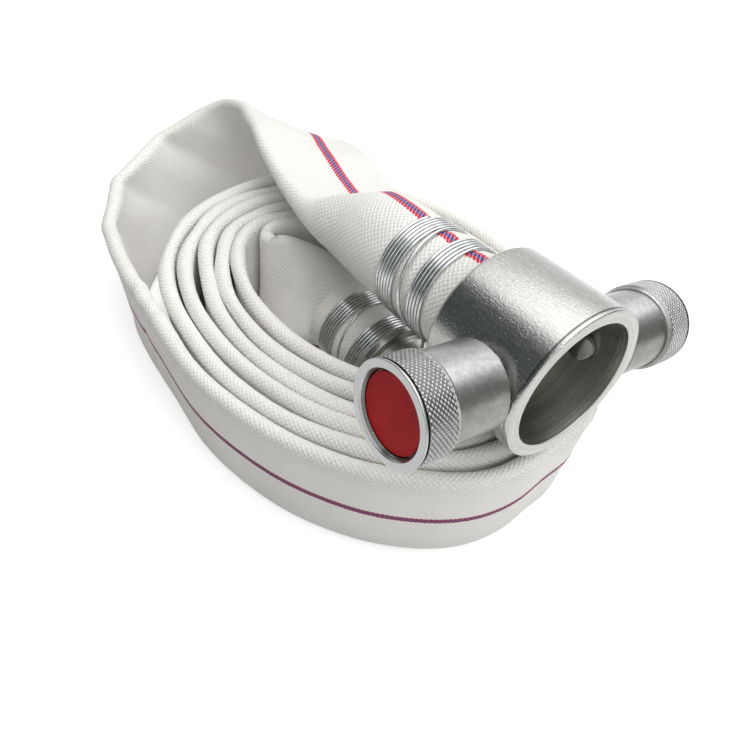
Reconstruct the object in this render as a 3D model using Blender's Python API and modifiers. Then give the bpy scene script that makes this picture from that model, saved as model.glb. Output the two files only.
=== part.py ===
"""Rolled lay-flat fire hose on edge, with a twin-plunger instantaneous female coupling on its outer end.

Metres, +Z up. The hose stands on the plane z = 0, and +X runs along the female coupling towards its mouth.
"""

import math

import bmesh
import bpy
import numpy as np
from mathutils import Matrix, Vector

MM = 0.001
GAP = 0.3 * MM  # between pieces that seat on each other
SLIDE_GAP = 0.4 * MM  # between a piece that slides and its guide

# Hose: lay-flat size, rolled core and pitch of the turns
HOSE_WIDTH = 82 * MM
HOSE_FLAT = 10.4 * MM
HOSE_WALL = 3.2 * MM
ROLL_PITCH = 11.2 * MM
ROLL_SLACK = 1.7 * MM  # further pitch at the right-hand bends, where the turns lie looser
SLACK_AT = math.radians(15)  # direction of the loosest bend, from the core's long axis
ROLL_DENT = 1.0 * MM  # less pitch where the front's right-hand end is pressed in
DENT_AT = math.radians(-8)
DENT_HALF = math.radians(10)
CORE_LONG = 88 * MM
CORE_SHORT = 52 * MM
CORE_YAW = math.radians(12)
FLOOR_CUT = 0.5 * MM  # depth of the flat on which the lower edges stand
START_TURNS = -0.04  # in turns, counted from the innermost left bend
END_TURNS = 5.80
LOOP_STATIONS = 24
OUTER_STEPS = 3
INNER_STEPS = 2
FLAT_SIDES = 8
ROUND_SIDES = 16

# Where the rolled core's middle stands, so that the object's box is centred over the origin
ROLL_X = 34.430 * MM
ROLL_Y = 1.560 * MM

# Hose tails of both couplings, whose radius follows from the hose that they fill
TAIL_WALL = 3.5 * MM
TAIL_RIDGE = 0.8 * MM
TAIL_RIDGES = 3
TAIL_RIDGE_PITCH = 14 * MM
TAIL_NOSE = 1.5 * MM
HOSE_PAST_TAIL = 6 * MM

# Female coupling: place of its lug axis over the rolled core, and its turned body
FEMALE_X = 131 * MM
FEMALE_Y = 15.3 * MM
FEMALE_OVER_ROLL = 4.9 * MM  # from the rolled edges up to the socket's side
FEMALE_PITCH = math.radians(5.6)
FEMALE_ROLL = math.radians(11.4)
BODY_R = 41.9 * MM
MOUTH_R = 35 * MM
MOUTH_AT = 22.2 * MM
REAR_AT = 38.9 * MM
REAR_CHAMFER = 2 * MM
EDGE = 0.8 * MM
SEAT_DEPTH = 40 * MM
THROAT_R = 27 * MM
THROAT_DEPTH = 12 * MM
FEMALE_TAIL = 66 * MM
SEAL_BORE = 29 * MM
SEAL_THICK = 7 * MM
SEAL_LIP = 2.5 * MM

# Release plungers, measured outwards from the coupling's axis
BOSS_R = 15.8 * MM
BOSS_ROOT = 37 * MM
BOSS_END = 70 * MM
TOOTH_R = 7 * MM
TOOTH_TIP = 29.5 * MM
TOOTH_SLOPE = math.radians(35)
COLLAR_R = 9 * MM
COLLAR_SEAT = 44 * MM
COLLAR_THICK = 3 * MM
STEM_R = 4 * MM
STEM_END = 88.2 * MM
PULL = 7 * MM
SPRING_WIRE = 1.3 * MM
SPRING_R = 6.4 * MM
SPRING_TURNS = 4.5
SPRING_POINTS = 8
GLAND_R = 11 * MM
GLAND_DEPTH = 8 * MM
GLAND_HEAD_R = 13 * MM
GLAND_HEAD = 3 * MM

# Pull knob over each boss
KNOB_R = 24.1 * MM
KNOB_FACE = 94.3 * MM
KNURL_INNER = 76.6 * MM
SHOULDER = 1.6 * MM
SLEEVE_R = 21.7 * MM
SLEEVE_END = 45.4 * MM
WEB_INNER = 74.8 * MM
WEB_OUTER = 82 * MM
RECESS_R = 18.9 * MM
RECESS_DEPTH = 4 * MM
NUT_POCKET_R = 15.5 * MM
NUT_R = 7.5 * MM
NUT_THICK = 5 * MM
CAP_THICK = 1.3 * MM
CAP_EDGE = 0.4 * MM

# Male coupling on the inner end, lying along +X in the middle of the roll
MALE_X = 36 * MM
MALE_Y = 6 * MM
MALE_TAIL = 52 * MM
MALE_FLANGE_R = 36.7 * MM
MALE_FLANGE = 5 * MM
MALE_GROOVE_R = 31 * MM
MALE_GROOVE = 7 * MM
MALE_NOSE = 10 * MM
MALE_FIT = 0.4 * MM
MALE_LEAD = 1.5 * MM

# Binding wire
WIRE_R = 0.95 * MM
WIRE_PITCH = 2.4 * MM
FIRST_BAND_TURNS = 6
SECOND_BAND_TURNS = 5
FEMALE_FIRST_BAND = 58 * MM  # from the coupling's rear face
FEMALE_SECOND_BAND = 31.7 * MM
MALE_FIRST_BAND = 47 * MM
MALE_SECOND_BAND = 18 * MM
CROSSING_TURN = 0.375
HOOK_RISE = 2.4 * MM
WIRE_END_RISE = 4.5 * MM
WIRE_END_TURN = math.radians(14)

# Facets round each turned piece
BODY_STEPS = 40
KNOB_STEPS = 36
SMALL_STEPS = 24

# Runs between the couplings and the roll: place, edge direction, share of roundness. Places are from the
# rolled core's middle, in shares of the roll's half length, half breadth and height. The edge direction
# points to the edge that is uppermost on the rolled turns. Roundness is 0 for lay-flat and 1 for round.
OUTER_RUN = [
    ((-0.0523, 0.1453, 1.3780), (-0.02, -0.98, 0.20), 0.916),
    ((-0.1569, 0.1624, 1.3415), (-0.05, -0.97, 0.21), 0.631),
    ((-0.2680, 0.1881, 1.2988), (-0.08, -0.97, 0.22), 0.236),
    ((-0.4576, 0.2223, 1.3232), (-0.10, -0.97, 0.22), 0.051),
    ((-0.6930, 0.2736, 1.3659), (-0.10, -0.97, 0.24), 0.000),
    ((-0.9218, 0.3334, 1.3293), (-0.03, -0.90, 0.42), 0.000),
    ((-1.1376, 0.3505, 1.1707), (0.00, -0.72, 0.69), 0.000),
    ((-1.3337, 0.1966, 0.9268), (-0.15, -0.40, 0.90), 0.000),
    ((-1.4121, -0.1539, 0.6951), (-0.15, -0.10, 0.98), 0.000),
    ((-1.3337, -0.5301, 0.5732), (-0.12, 0.00, 0.99), 0.000),
    ((-1.1330, -0.8200, 0.5080), (-0.05, -0.04, 1.00), 0.000),
    ((-0.7790, -0.9850, 0.4960), (0.00, -0.02, 1.00), 0.000),
]
INNER_RUN = [
    ((-0.5170, -0.2420, 0.5000), (-0.02, -0.01, 1.00), 0.003),
    ((-0.4740, -0.2460, 0.5000), (0.00, -0.01, 1.00), 0.016),
    ((-0.4053, -0.1795, 0.4939), (0.00, 0.00, 1.00), 0.104),
    ((-0.3073, -0.0684, 0.4817), (0.00, 0.00, 1.00), 0.367),
    ((-0.2027, 0.0342, 0.4634), (0.00, 0.00, 1.00), 0.762),
]

# Sizes that follow from those above
FLAT_HALF = HOSE_FLAT / 2 / math.cos(math.pi / FLAT_SIDES)
HOSE_GIRTH = 2 * (HOSE_WIDTH - HOSE_FLAT) + 2 * math.pi * FLAT_HALF
ROUND_R = HOSE_GIRTH / (2 * math.pi)
BORE_R = ROUND_R - HOSE_WALL
TAIL_R = BORE_R * math.cos(math.pi / ROUND_SIDES) - GAP - TAIL_RIDGE
TAIL_BORE = TAIL_R - TAIL_WALL
WIND_R = ROUND_R + GAP + WIRE_R
ROLL_MIDDLE = Vector((ROLL_X, ROLL_Y, 0))
ROLL_HALF_LONG = CORE_LONG + ROLL_PITCH * END_TURNS
ROLL_HALF_SHORT = CORE_SHORT + ROLL_PITCH * END_TURNS
FEMALE_Z = HOSE_WIDTH + FEMALE_OVER_ROLL + BODY_R
MALE_Z = MALE_FLANGE_R + GAP
FEMALE_PLACE = Matrix.Translation(ROLL_MIDDLE + Vector((FEMALE_X, FEMALE_Y, FEMALE_Z)))
FEMALE_FRAME = (
    FEMALE_PLACE
    @ Matrix.Rotation(-FEMALE_PITCH, 4, "Y")
    @ Matrix.Rotation(-FEMALE_ROLL, 4, "X")
)
MALE_FRAME = Matrix.Translation(ROLL_MIDDLE + Vector((MALE_X, MALE_Y, MALE_Z)))


def clear_scene():
    for obj in list(bpy.data.objects):
        bpy.data.objects.remove(obj, do_unlink=True)


def new_collection(name):
    collection = bpy.data.collections.new(name)
    bpy.context.scene.collection.children.link(collection)
    return collection


def finish(name, colour, roughness, metallic):
    """One Principled material for each sub-part."""
    material = bpy.data.materials.new(name + "_finish")
    material.use_nodes = True
    shader = material.node_tree.nodes["Principled BSDF"]
    shader.inputs["Base Color"].default_value = (*colour, 1)
    shader.inputs["Roughness"].default_value = roughness
    shader.inputs["Metallic"].default_value = metallic
    material.diffuse_color = (*colour, 1)
    return material


def woven(name):
    return finish(name, (0.84, 0.82, 0.78), 0.85, 0.0)


def aluminium(name):
    return finish(name, (0.66, 0.67, 0.69), 0.35, 1.0)


def steel(name):
    return finish(name, (0.60, 0.61, 0.62), 0.28, 1.0)


def rubber(name):
    return finish(name, (0.03, 0.03, 0.03), 0.7, 0.0)


def red_plastic(name):
    return finish(name, (0.42, 0.02, 0.02), 0.3, 0.0)


def add_part(name, data, material, frame, collection):
    part = bpy.data.objects.new(name, data)
    part.matrix_world = frame
    collection.objects.link(part)
    if material:
        data.materials.append(material)
    return part


def add_frame(name, matrix, collection, parent=None):
    """An empty that carries the pieces of one coupling or of one plunger."""
    empty = bpy.data.objects.new(name, None)
    empty.empty_display_size = 0.02
    collection.objects.link(empty)
    empty.parent = parent
    empty.matrix_basis = matrix
    bpy.context.view_layer.update()
    return empty


def hang_on(part, empty):
    """Parents a part to an empty and keeps its own matrix as its place in that frame."""
    local = part.matrix_world.copy()
    part.parent = empty
    part.matrix_basis = local


def turned(name, profile, steps, material, collection, frame=Matrix()):
    """A profile of (radius, height) points, closed on itself, turned about the local Z axis."""
    mesh = bpy.data.meshes.new(name)
    points = [(radius, 0, height) for radius, height in profile]
    count = len(points)
    mesh.from_pydata(points, [(i, (i + 1) % count) for i in range(count)], [])
    part = add_part(name, mesh, material, frame, collection)
    screw = part.modifiers.new("Turn", "SCREW")
    screw.steps = steps
    screw.render_steps = steps
    screw.use_merge_vertices = True
    screw.merge_threshold = 0.00001
    screw.use_smooth_shade = False
    return part


def turned_solid(name, profile, steps, material, collection, frame=Matrix()):
    """As turned, for an open profile that starts and ends on the axis."""
    mesh = bpy.data.meshes.new(name)
    points = [(radius, 0, height) for radius, height in profile]
    mesh.from_pydata(points, [(i, i + 1) for i in range(len(points) - 1)], [])
    part = add_part(name, mesh, material, frame, collection)
    screw = part.modifiers.new("Turn", "SCREW")
    screw.steps = steps
    screw.render_steps = steps
    screw.use_merge_vertices = True
    screw.merge_threshold = 0.00001
    screw.use_smooth_shade = False
    return part


def as_cutter(part):
    part.hide_render = True
    part.display_type = "WIRE"
    return part


def join_or_cut(part, other, operation):
    boolean = part.modifiers.new(operation.title(), "BOOLEAN")
    boolean.operation = operation
    boolean.object = other


def tail_profile(rear, length):
    """Outer side of a hose tail, from its root at height rear down to its rounded end, with grip ridges."""
    points = [(TAIL_R, rear)]
    first = rear - (length - TAIL_RIDGES * TAIL_RIDGE_PITCH) / 2
    for ridge in range(TAIL_RIDGES):
        top = first - ridge * TAIL_RIDGE_PITCH
        points.append((TAIL_R, top))
        points.append((TAIL_R + TAIL_RIDGE, top - 2 * TAIL_RIDGE))
        points.append((TAIL_R, top - 4 * TAIL_RIDGE))
    end = rear - length
    points.append((TAIL_R, end + TAIL_NOSE))
    points.append((TAIL_R - TAIL_NOSE, end))
    points.append((TAIL_BORE, end))
    return points


def female_body(collection, cutters, frame, lugs):
    """Socket, hose tail and the two plunger bosses, in one casting that is bored and turned."""
    seat = MOUTH_AT - SEAT_DEPTH
    profile = [
        (MOUTH_R + EDGE, MOUTH_AT),
        (BODY_R - EDGE, MOUTH_AT),
        (BODY_R, MOUTH_AT - EDGE),
        (BODY_R, REAR_CHAMFER - REAR_AT),
        (BODY_R - REAR_CHAMFER, -REAR_AT),
    ]
    profile += tail_profile(-REAR_AT, FEMALE_TAIL)
    profile += [
        (TAIL_BORE, seat - THROAT_DEPTH - (THROAT_R - TAIL_BORE)),
        (THROAT_R, seat - THROAT_DEPTH),
        (THROAT_R, seat),
        (MOUTH_R, seat),
        (MOUTH_R, MOUTH_AT - EDGE),
    ]
    along_axis = Matrix.Rotation(math.pi / 2, 4, "Y")
    body = turned(
        "female_body", profile, BODY_STEPS, aluminium("female_body"), collection, along_axis
    )
    hang_on(body, frame)
    hole_r = TOOTH_R + SLIDE_GAP
    chamber_r = COLLAR_R + SLIDE_GAP
    thread_r = GLAND_R + GAP
    bore = [
        (0, BOSS_END + PULL),
        (thread_r, BOSS_END + PULL),
        (thread_r, BOSS_END - GLAND_DEPTH - GAP),
        (chamber_r, BOSS_END - GLAND_DEPTH - GAP),
        (chamber_r, COLLAR_SEAT),
        (hole_r, COLLAR_SEAT),
        (hole_r, TOOTH_TIP - PULL),
        (0, TOOTH_TIP - PULL),
    ]
    boss = [
        (0, BOSS_END),
        (BOSS_R - EDGE, BOSS_END),
        (BOSS_R, BOSS_END - EDGE),
        (BOSS_R, BOSS_ROOT),
        (0, BOSS_ROOT),
    ]
    for side, lug in lugs.items():
        solid = as_cutter(turned_solid(side + "_boss", boss, KNOB_STEPS, None, cutters))
        hang_on(solid, lug)
        join_or_cut(body, solid, "UNION")
    for side, lug in lugs.items():
        hole = as_cutter(turned_solid(side + "_boss_bore", bore, KNOB_STEPS, None, cutters))
        hang_on(hole, lug)
        join_or_cut(body, hole, "DIFFERENCE")
    return body


def seal_ring(collection, frame):
    """Rubber lip ring that seats at the bottom of the socket."""
    bottom = MOUTH_AT - SEAT_DEPTH + GAP
    top = bottom + SEAL_THICK
    profile = [
        (MOUTH_R - GAP - SEAL_LIP, top),
        (MOUTH_R - GAP, top - SEAL_LIP),
        (MOUTH_R - GAP, bottom),
        (SEAL_BORE, bottom),
        (SEAL_BORE, top - SEAL_LIP),
        (SEAL_BORE + SEAL_LIP, top),
    ]
    along_axis = Matrix.Rotation(math.pi / 2, 4, "Y")
    ring = turned("seal_ring", profile, BODY_STEPS, rubber("seal_ring"), collection, along_axis)
    hang_on(ring, frame)


def plunger(side, collection, cutters, lug):
    """Locking tooth, spring collar and stem in one turned piece, with the tooth's lead-in cut sloping."""
    collar_low = COLLAR_SEAT + GAP
    profile = [
        (0, STEM_END),
        (STEM_R - EDGE, STEM_END),
        (STEM_R, STEM_END - EDGE),
        (STEM_R, collar_low + COLLAR_THICK),
        (COLLAR_R, collar_low + COLLAR_THICK),
        (COLLAR_R, collar_low),
        (TOOTH_R, collar_low),
        (TOOTH_R, TOOTH_TIP),
        (0, TOOTH_TIP),
    ]
    name = side + "_plunger"
    part = turned_solid(name, profile, SMALL_STEPS, steel(name), collection)
    hang_on(part, lug)
    mesh = bpy.data.meshes.new(side + "_tooth_cut")
    build = bmesh.new()
    bmesh.ops.create_cube(build, size=4 * TOOTH_R)
    build.to_mesh(mesh)
    build.free()
    slope = (
        Matrix.Translation((TOOTH_R / 3, 0, TOOTH_TIP))
        @ Matrix.Rotation(-TOOTH_SLOPE, 4, "Y")
        @ Matrix.Translation((0, 0, -2 * TOOTH_R))
    )
    cut = as_cutter(add_part(side + "_tooth_cut", mesh, None, slope, cutters))
    hang_on(cut, lug)
    join_or_cut(part, cut, "DIFFERENCE")


def helix(turns, radius, low, high, points_per_turn):
    count = round(turns * points_per_turn)
    points = []
    for i in range(count + 1):
        angle = 2 * math.pi * i / points_per_turn
        height = low + (high - low) * i / count
        points.append((radius * math.cos(angle), radius * math.sin(angle), height))
    return points


def wire_curve(name, points, radius, material, collection, frame):
    """A round wire through the points, as one tube with closed ends."""
    curve = bpy.data.curves.new(name, "CURVE")
    curve.dimensions = "3D"
    curve.bevel_depth = radius
    curve.bevel_resolution = 1
    curve.use_fill_caps = True
    spline = curve.splines.new("POLY")
    spline.points.add(len(points) - 1)
    for place, point in zip(spline.points, points):
        place.co = (*point, 1)
    return add_part(name, curve, material, frame, collection)


def least_gap(name, points, thickness, apart):
    """Prints the least clear distance between stretches of a tube that lie apart along it."""
    points = np.array(points)
    steps = np.linalg.norm(np.diff(points, axis=0), axis=1)
    along = np.concatenate([[0], np.cumsum(steps)])
    far = np.abs(along[:, None] - along[None, :]) > apart
    spread = np.linalg.norm(points[:, None] - points[None, :], axis=2)
    gap = spread[far].min() - thickness
    print(f"{name}: least gap to itself {gap / MM:.2f} mm")


def spring(side, collection, lug):
    low = COLLAR_SEAT + COLLAR_THICK + 2 * GAP + SPRING_WIRE / 2
    high = BOSS_END - GLAND_DEPTH - GAP - SPRING_WIRE / 2
    points = helix(SPRING_TURNS, SPRING_R, low, high, SPRING_POINTS)
    name = side + "_spring"
    part = wire_curve(name, points, SPRING_WIRE / 2, steel(name), collection, Matrix())
    hang_on(part, lug)
    least_gap(name, points, SPRING_WIRE, math.pi * SPRING_R)


def gland_nut(side, collection, lug):
    """Screwed bush that closes the boss, guides the stem and holds the spring in."""
    head = BOSS_END + GAP
    guide_r = STEM_R + SLIDE_GAP
    profile = [
        (guide_r, head + GLAND_HEAD),
        (GLAND_HEAD_R - EDGE, head + GLAND_HEAD),
        (GLAND_HEAD_R, head + GLAND_HEAD - EDGE),
        (GLAND_HEAD_R, head),
        (GLAND_R, head),
        (GLAND_R, BOSS_END - GLAND_DEPTH),
        (guide_r, BOSS_END - GLAND_DEPTH),
    ]
    name = side + "_gland_nut"
    hang_on(turned(name, profile, SMALL_STEPS, aluminium(name), collection), lug)


def knob(side, collection, lug):
    """Pull knob: a sleeve that slides over the boss, a grip head and a stepped recess in its face."""
    inner_r = BOSS_R + SLIDE_GAP
    stem_hole_r = STEM_R + GAP
    profile = [
        (RECESS_R, KNOB_FACE),
        (KNOB_R - EDGE, KNOB_FACE),
        (KNOB_R, KNOB_FACE - EDGE),
        (KNOB_R, KNURL_INNER),
        (SLEEVE_R + EDGE, KNURL_INNER - SHOULDER),
        (SLEEVE_R, KNURL_INNER - SHOULDER),
        (SLEEVE_R, SLEEVE_END + EDGE),
        (SLEEVE_R - EDGE, SLEEVE_END),
        (inner_r, SLEEVE_END),
        (inner_r, WEB_INNER),
        (stem_hole_r, WEB_INNER),
        (stem_hole_r, WEB_OUTER),
        (NUT_POCKET_R, WEB_OUTER),
        (NUT_POCKET_R, KNOB_FACE - RECESS_DEPTH),
        (RECESS_R, KNOB_FACE - RECESS_DEPTH),
    ]
    name = side + "_knob"
    hang_on(turned(name, profile, KNOB_STEPS, aluminium(name), collection), lug)


def knob_nut(side, collection, cutters, lug):
    name = side + "_knob_nut"
    mesh = bpy.data.meshes.new(name)
    build = bmesh.new()
    bmesh.ops.create_cone(
        build, cap_ends=True, segments=6, radius1=NUT_R, radius2=NUT_R, depth=NUT_THICK
    )
    build.to_mesh(mesh)
    build.free()
    place = Matrix.Translation((0, 0, WEB_OUTER + GAP + NUT_THICK / 2))
    nut = add_part(name, mesh, steel(name), place, collection)
    hang_on(nut, lug)
    hole_r = STEM_R + GAP
    hole = [(0, STEM_END + PULL), (hole_r, STEM_END + PULL), (hole_r, WEB_INNER), (0, WEB_INNER)]
    cut = as_cutter(turned_solid(name + "_hole", hole, SMALL_STEPS, None, cutters))
    hang_on(cut, lug)
    join_or_cut(nut, cut, "DIFFERENCE")


def knob_cap(side, collection, lug):
    """Coloured disc that lies on the recess's ledge and hides the nut."""
    low = KNOB_FACE - RECESS_DEPTH + GAP
    high = low + CAP_THICK
    radius = RECESS_R - 2 * GAP
    profile = [
        (0, high),
        (radius - CAP_EDGE, high),
        (radius, high - CAP_EDGE),
        (radius, low),
        (0, low),
    ]
    name = side + "_knob_cap"
    hang_on(turned_solid(name, profile, KNOB_STEPS, red_plastic(name), collection), lug)


def male_body(collection, frame):
    """Plug that fits the female socket: shoulder, locking groove, nose and hose tail."""
    groove = MALE_FLANGE
    nose = groove + MALE_GROOVE
    end = nose + MALE_NOSE
    nose_r = MOUTH_R - MALE_FIT
    profile = [
        (THROAT_R, end),
        (nose_r - MALE_LEAD, end),
        (nose_r, end - MALE_LEAD),
        (nose_r, nose),
        (MALE_GROOVE_R, nose),
        (MALE_GROOVE_R, groove),
        (MALE_FLANGE_R - EDGE, groove),
        (MALE_FLANGE_R, groove - EDGE),
        (MALE_FLANGE_R, EDGE),
        (MALE_FLANGE_R - EDGE, 0),
    ]
    profile += tail_profile(0, MALE_TAIL)
    profile += [(TAIL_BORE, 0), (THROAT_R, THROAT_R - TAIL_BORE)]
    along_axis = Matrix.Rotation(math.pi / 2, 4, "Y")
    body = turned("male_body", profile, BODY_STEPS, aluminium("male_body"), collection, along_axis)
    hang_on(body, frame)


def roll_place(turn):
    """Middle of the hose on the roll, at a number of turns from the innermost left bend."""
    angle = math.pi - 2 * math.pi * turn
    out = np.array([math.cos(angle), math.sin(angle)])
    reach = math.hypot(CORE_LONG * out[0], CORE_SHORT * out[1])
    core = np.array([CORE_LONG**2 * out[0], CORE_SHORT**2 * out[1]]) / reach
    from_dent = math.remainder(angle - DENT_AT, 2 * math.pi) / DENT_HALF
    pitch = ROLL_PITCH + ROLL_SLACK * max(0, math.cos(angle - SLACK_AT)) ** 2
    pitch -= ROLL_DENT * math.exp(-(from_dent**2))
    place = core + pitch * turn * out
    c, s = math.cos(CORE_YAW), math.sin(CORE_YAW)
    x, y = np.array([[c, -s], [s, c]]) @ place
    return np.array([x + ROLL_X, y + ROLL_Y, HOSE_WIDTH / 2 - FLOOR_CUT])


def smooth_between(knots, index, share):
    """Catmull-Rom value between knots index and index + 1, each knot an array."""
    a, b, c, d = (knots[index + k] for k in (-1, 0, 1, 2))
    square = share * share
    cube = square * share
    return 0.5 * (
        2 * b + (c - a) * share + (2 * a - 5 * b + 4 * c - d) * square + (3 * b - a - 3 * c + d) * cube
    )


def run_knots(run):
    """Run points as arrays of place, edge direction and half thickness, in metres."""
    knots = []
    for (long, short, high), edge, roundness in run:
        x = ROLL_X + long * ROLL_HALF_LONG
        y = ROLL_Y + short * ROLL_HALF_SHORT
        half = FLAT_HALF + roundness * (ROUND_R - FLAT_HALF)
        knots.append(np.array([x, y, high * HOSE_WIDTH, *edge, half]))
    return knots


def straight_knots(frame, distances, edge):
    """Knots of the round hose that lies straight along a coupling's tail."""
    direction = frame.to_3x3() @ Vector(edge)
    knots = []
    for distance in distances:
        place = frame @ Vector((-distance, 0, 0))
        knots.append(np.array([*place, *direction, ROUND_R]))
    return knots


def hose_knots():
    """Knots from the female tail to the male tail, and how many steps follow each knot."""
    first = REAR_AT + GAP
    female_end = REAR_AT + FEMALE_TAIL + HOSE_PAST_TAIL
    knots = straight_knots(FEMALE_FRAME, (first, (first + female_end) / 2, female_end), (0, -1, 0))
    steps = [1, 1, OUTER_STEPS]
    outer = run_knots(OUTER_RUN)
    knots += outer
    steps += [OUTER_STEPS] * len(outer)
    stations = round((END_TURNS - START_TURNS) * LOOP_STATIONS)
    for i in range(stations + 1):
        turn = END_TURNS + (START_TURNS - END_TURNS) * i / stations
        knots.append(np.array([*roll_place(turn), 0, 0, 1, FLAT_HALF]))
        steps.append(1)
    steps[-1] = INNER_STEPS
    inner = run_knots(INNER_RUN)
    knots += inner
    steps += [INNER_STEPS] * len(inner)
    male_end = MALE_TAIL + HOSE_PAST_TAIL
    knots += straight_knots(MALE_FRAME, (male_end, (GAP + male_end) / 2, GAP), (0, 0, 1))
    steps += [1, 1, 1]
    return knots, steps


def hose_stations():
    """Rows of place, edge direction and half thickness along the whole hose."""
    knots, steps = hose_knots()
    padded = [2 * knots[0] - knots[1], *knots, 2 * knots[-1] - knots[-2]]
    rows = []
    for index in range(len(knots) - 1):
        for step in range(steps[index]):
            rows.append(smooth_between(padded, index + 1, step / steps[index]))
    rows.append(knots[-1])
    return np.array(rows)


def section(half, sides):
    """Lay-flat hose section that keeps its girth: two round folds of radius half joined by flats."""
    flat = max(0, (HOSE_GIRTH - 2 * math.pi * half) / 2)
    points = []
    for k in range(sides):
        angle = math.pi / FLAT_SIDES + 2 * math.pi * k / sides
        across = math.cos(angle)
        fold = 0 if abs(across) < 1e-6 else math.copysign(flat / 2, across)
        points.append((fold + half * across, half * math.sin(angle)))
    return points


def place_rings(rows):
    """Section points in space at each row, with more sides where the hose is round."""
    places = rows[:, :3]
    tangents = np.gradient(places, axis=0)
    tangents /= np.linalg.norm(tangents, axis=1)[:, None]
    rings = []
    for row, tangent in zip(rows, tangents):
        edge = row[3:6] - tangent * np.dot(row[3:6], tangent)
        edge /= np.linalg.norm(edge)
        out = np.cross(tangent, edge)
        sides = ROUND_SIDES if row[6] > 2 * FLAT_HALF else FLAT_SIDES
        ring = np.array([row[:3] + edge * x + out * y for x, y in section(row[6], sides)])
        ring[:, 2] = np.maximum(ring[:, 2], 0)
        rings.append(ring)
    return rings


def skin(build, rings):
    """Joins rings of vertices. Where one has twice the sides of the next, each side takes two."""
    for first, second in zip(rings, rings[1:]):
        count = min(len(first), len(second))
        for k in range(count):
            after = (k + 1) % count
            if len(first) == len(second):
                build.faces.new((first[k], first[after], second[after], second[k]))
            elif len(first) < len(second):
                a, b, c = second[2 * k], second[2 * k + 1], second[(2 * k + 2) % len(second)]
                build.faces.new((first[k], b, a))
                build.faces.new((first[k], first[after], b))
                build.faces.new((first[after], c, b))
            else:
                a, b, c = first[2 * k], first[2 * k + 1], first[(2 * k + 2) % len(first)]
                build.faces.new((second[k], a, b))
                build.faces.new((second[k], b, second[after]))
                build.faces.new((second[after], b, c))


def bore_rings(frame, near, far, edge):
    """Two rings of the straight bore that takes a coupling's tail."""
    rotation = frame.to_3x3()
    side = rotation @ Vector(edge)
    out = (rotation @ Vector((-1, 0, 0))).cross(side)
    rings = []
    for distance in (near, far):
        middle = frame @ Vector((-distance, 0, 0))
        ring = []
        for k in range(ROUND_SIDES):
            angle = math.pi / FLAT_SIDES + 2 * math.pi * k / ROUND_SIDES
            ring.append(middle + BORE_R * (side * math.cos(angle) + out * math.sin(angle)))
        rings.append(ring)
    return rings


def hose(collection):
    """The whole hose: round over the female tail, flat over and round the roll, round on the male tail."""
    rows = hose_stations()
    build = bmesh.new()
    outside = [[build.verts.new(point) for point in ring] for ring in place_rings(rows)]
    first = REAR_AT + GAP
    female_end = REAR_AT + FEMALE_TAIL + HOSE_PAST_TAIL / 2
    female_bore = [
        [build.verts.new(point) for point in ring]
        for ring in bore_rings(FEMALE_FRAME, first, female_end, (0, -1, 0))
    ]
    male_bore = [
        [build.verts.new(point) for point in ring]
        for ring in bore_rings(MALE_FRAME, GAP, MALE_TAIL + HOSE_PAST_TAIL / 2, (0, 0, 1))
    ]
    start = [female_bore[1], female_bore[0]]
    skin(build, [*start, *outside])
    build.faces.new(reversed(female_bore[1]))
    males = [outside[-1], *match_ring(outside[-1], male_bore)]
    skin(build, males)
    build.faces.new(males[-1])
    bmesh.ops.recalc_face_normals(build, faces=build.faces)
    mesh = bpy.data.meshes.new("hose")
    build.to_mesh(mesh)
    build.free()
    add_part("hose", mesh, woven("hose"), Matrix(), collection)
    print_hose(rows)


def match_ring(model, rings):
    """Turns each ring's order so that its points run as the model ring's do."""
    matched = []
    for ring in rings:
        start = min(range(len(ring)), key=lambda k: (ring[k].co - model[0].co).length)
        turned_ring = ring[start:] + ring[:start]
        back = [turned_ring[0], *turned_ring[:0:-1]]
        same = (turned_ring[1].co - model[1].co).length < (back[1].co - model[1].co).length
        matched.append(turned_ring if same else back)
    return matched


def print_hose(rows):
    """Prints the hose's length and its least gap to itself, measured on points of its middle surface."""
    places = rows[:, :3]
    length = np.linalg.norm(np.diff(places, axis=0), axis=1).sum()
    print(f"hose: length along its middle {length:.3f} m")
    flat = rows[rows[:, 6] < 1.05 * FLAT_HALF]
    points = []
    for share in (-0.5, 0, 0.5):
        points.append(flat[:, :3] + flat[:, 3:6] * share * (HOSE_WIDTH - HOSE_FLAT))
    along = np.arange(len(flat))
    far = np.abs(along[:, None] - along[None, :]) > LOOP_STATIONS / 2
    least = min(
        np.linalg.norm(a[:, None] - b[None, :], axis=2)[far].min() for a in points for b in points
    )
    print(f"hose: least gap to itself {(least - HOSE_FLAT) / MM:.2f} mm")


def band_points(first_band, second_band, hook):
    """One wire: a first band, a crossing strand and a second band, wound on the round hose.

    Distances are along the tail from the coupling's rear face. Points lie over the hose's corners.
    """
    step = 1 / ROUND_SIDES
    crossing = CROSSING_TURN
    total = FIRST_BAND_TURNS + crossing + SECOND_BAND_TURNS
    start_cross = first_band - FIRST_BAND_TURNS * WIRE_PITCH
    points = []
    for i in range(round(total / step) + 1):
        turn = i * step
        lift = 0
        if turn <= FIRST_BAND_TURNS:
            along = first_band - turn * WIRE_PITCH
        elif turn < FIRST_BAND_TURNS + crossing:
            share = (turn - FIRST_BAND_TURNS) / crossing
            along = start_cross + (second_band - start_cross) * share
            lift = hook * math.sin(math.pi * share)
        else:
            along = second_band - (turn - FIRST_BAND_TURNS - crossing) * WIRE_PITCH
        angle = 2 * math.pi * (turn + 0.25)
        radius = WIND_R + lift
        points.append((-along, radius * math.cos(angle), radius * math.sin(angle)))
    return points


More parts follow.
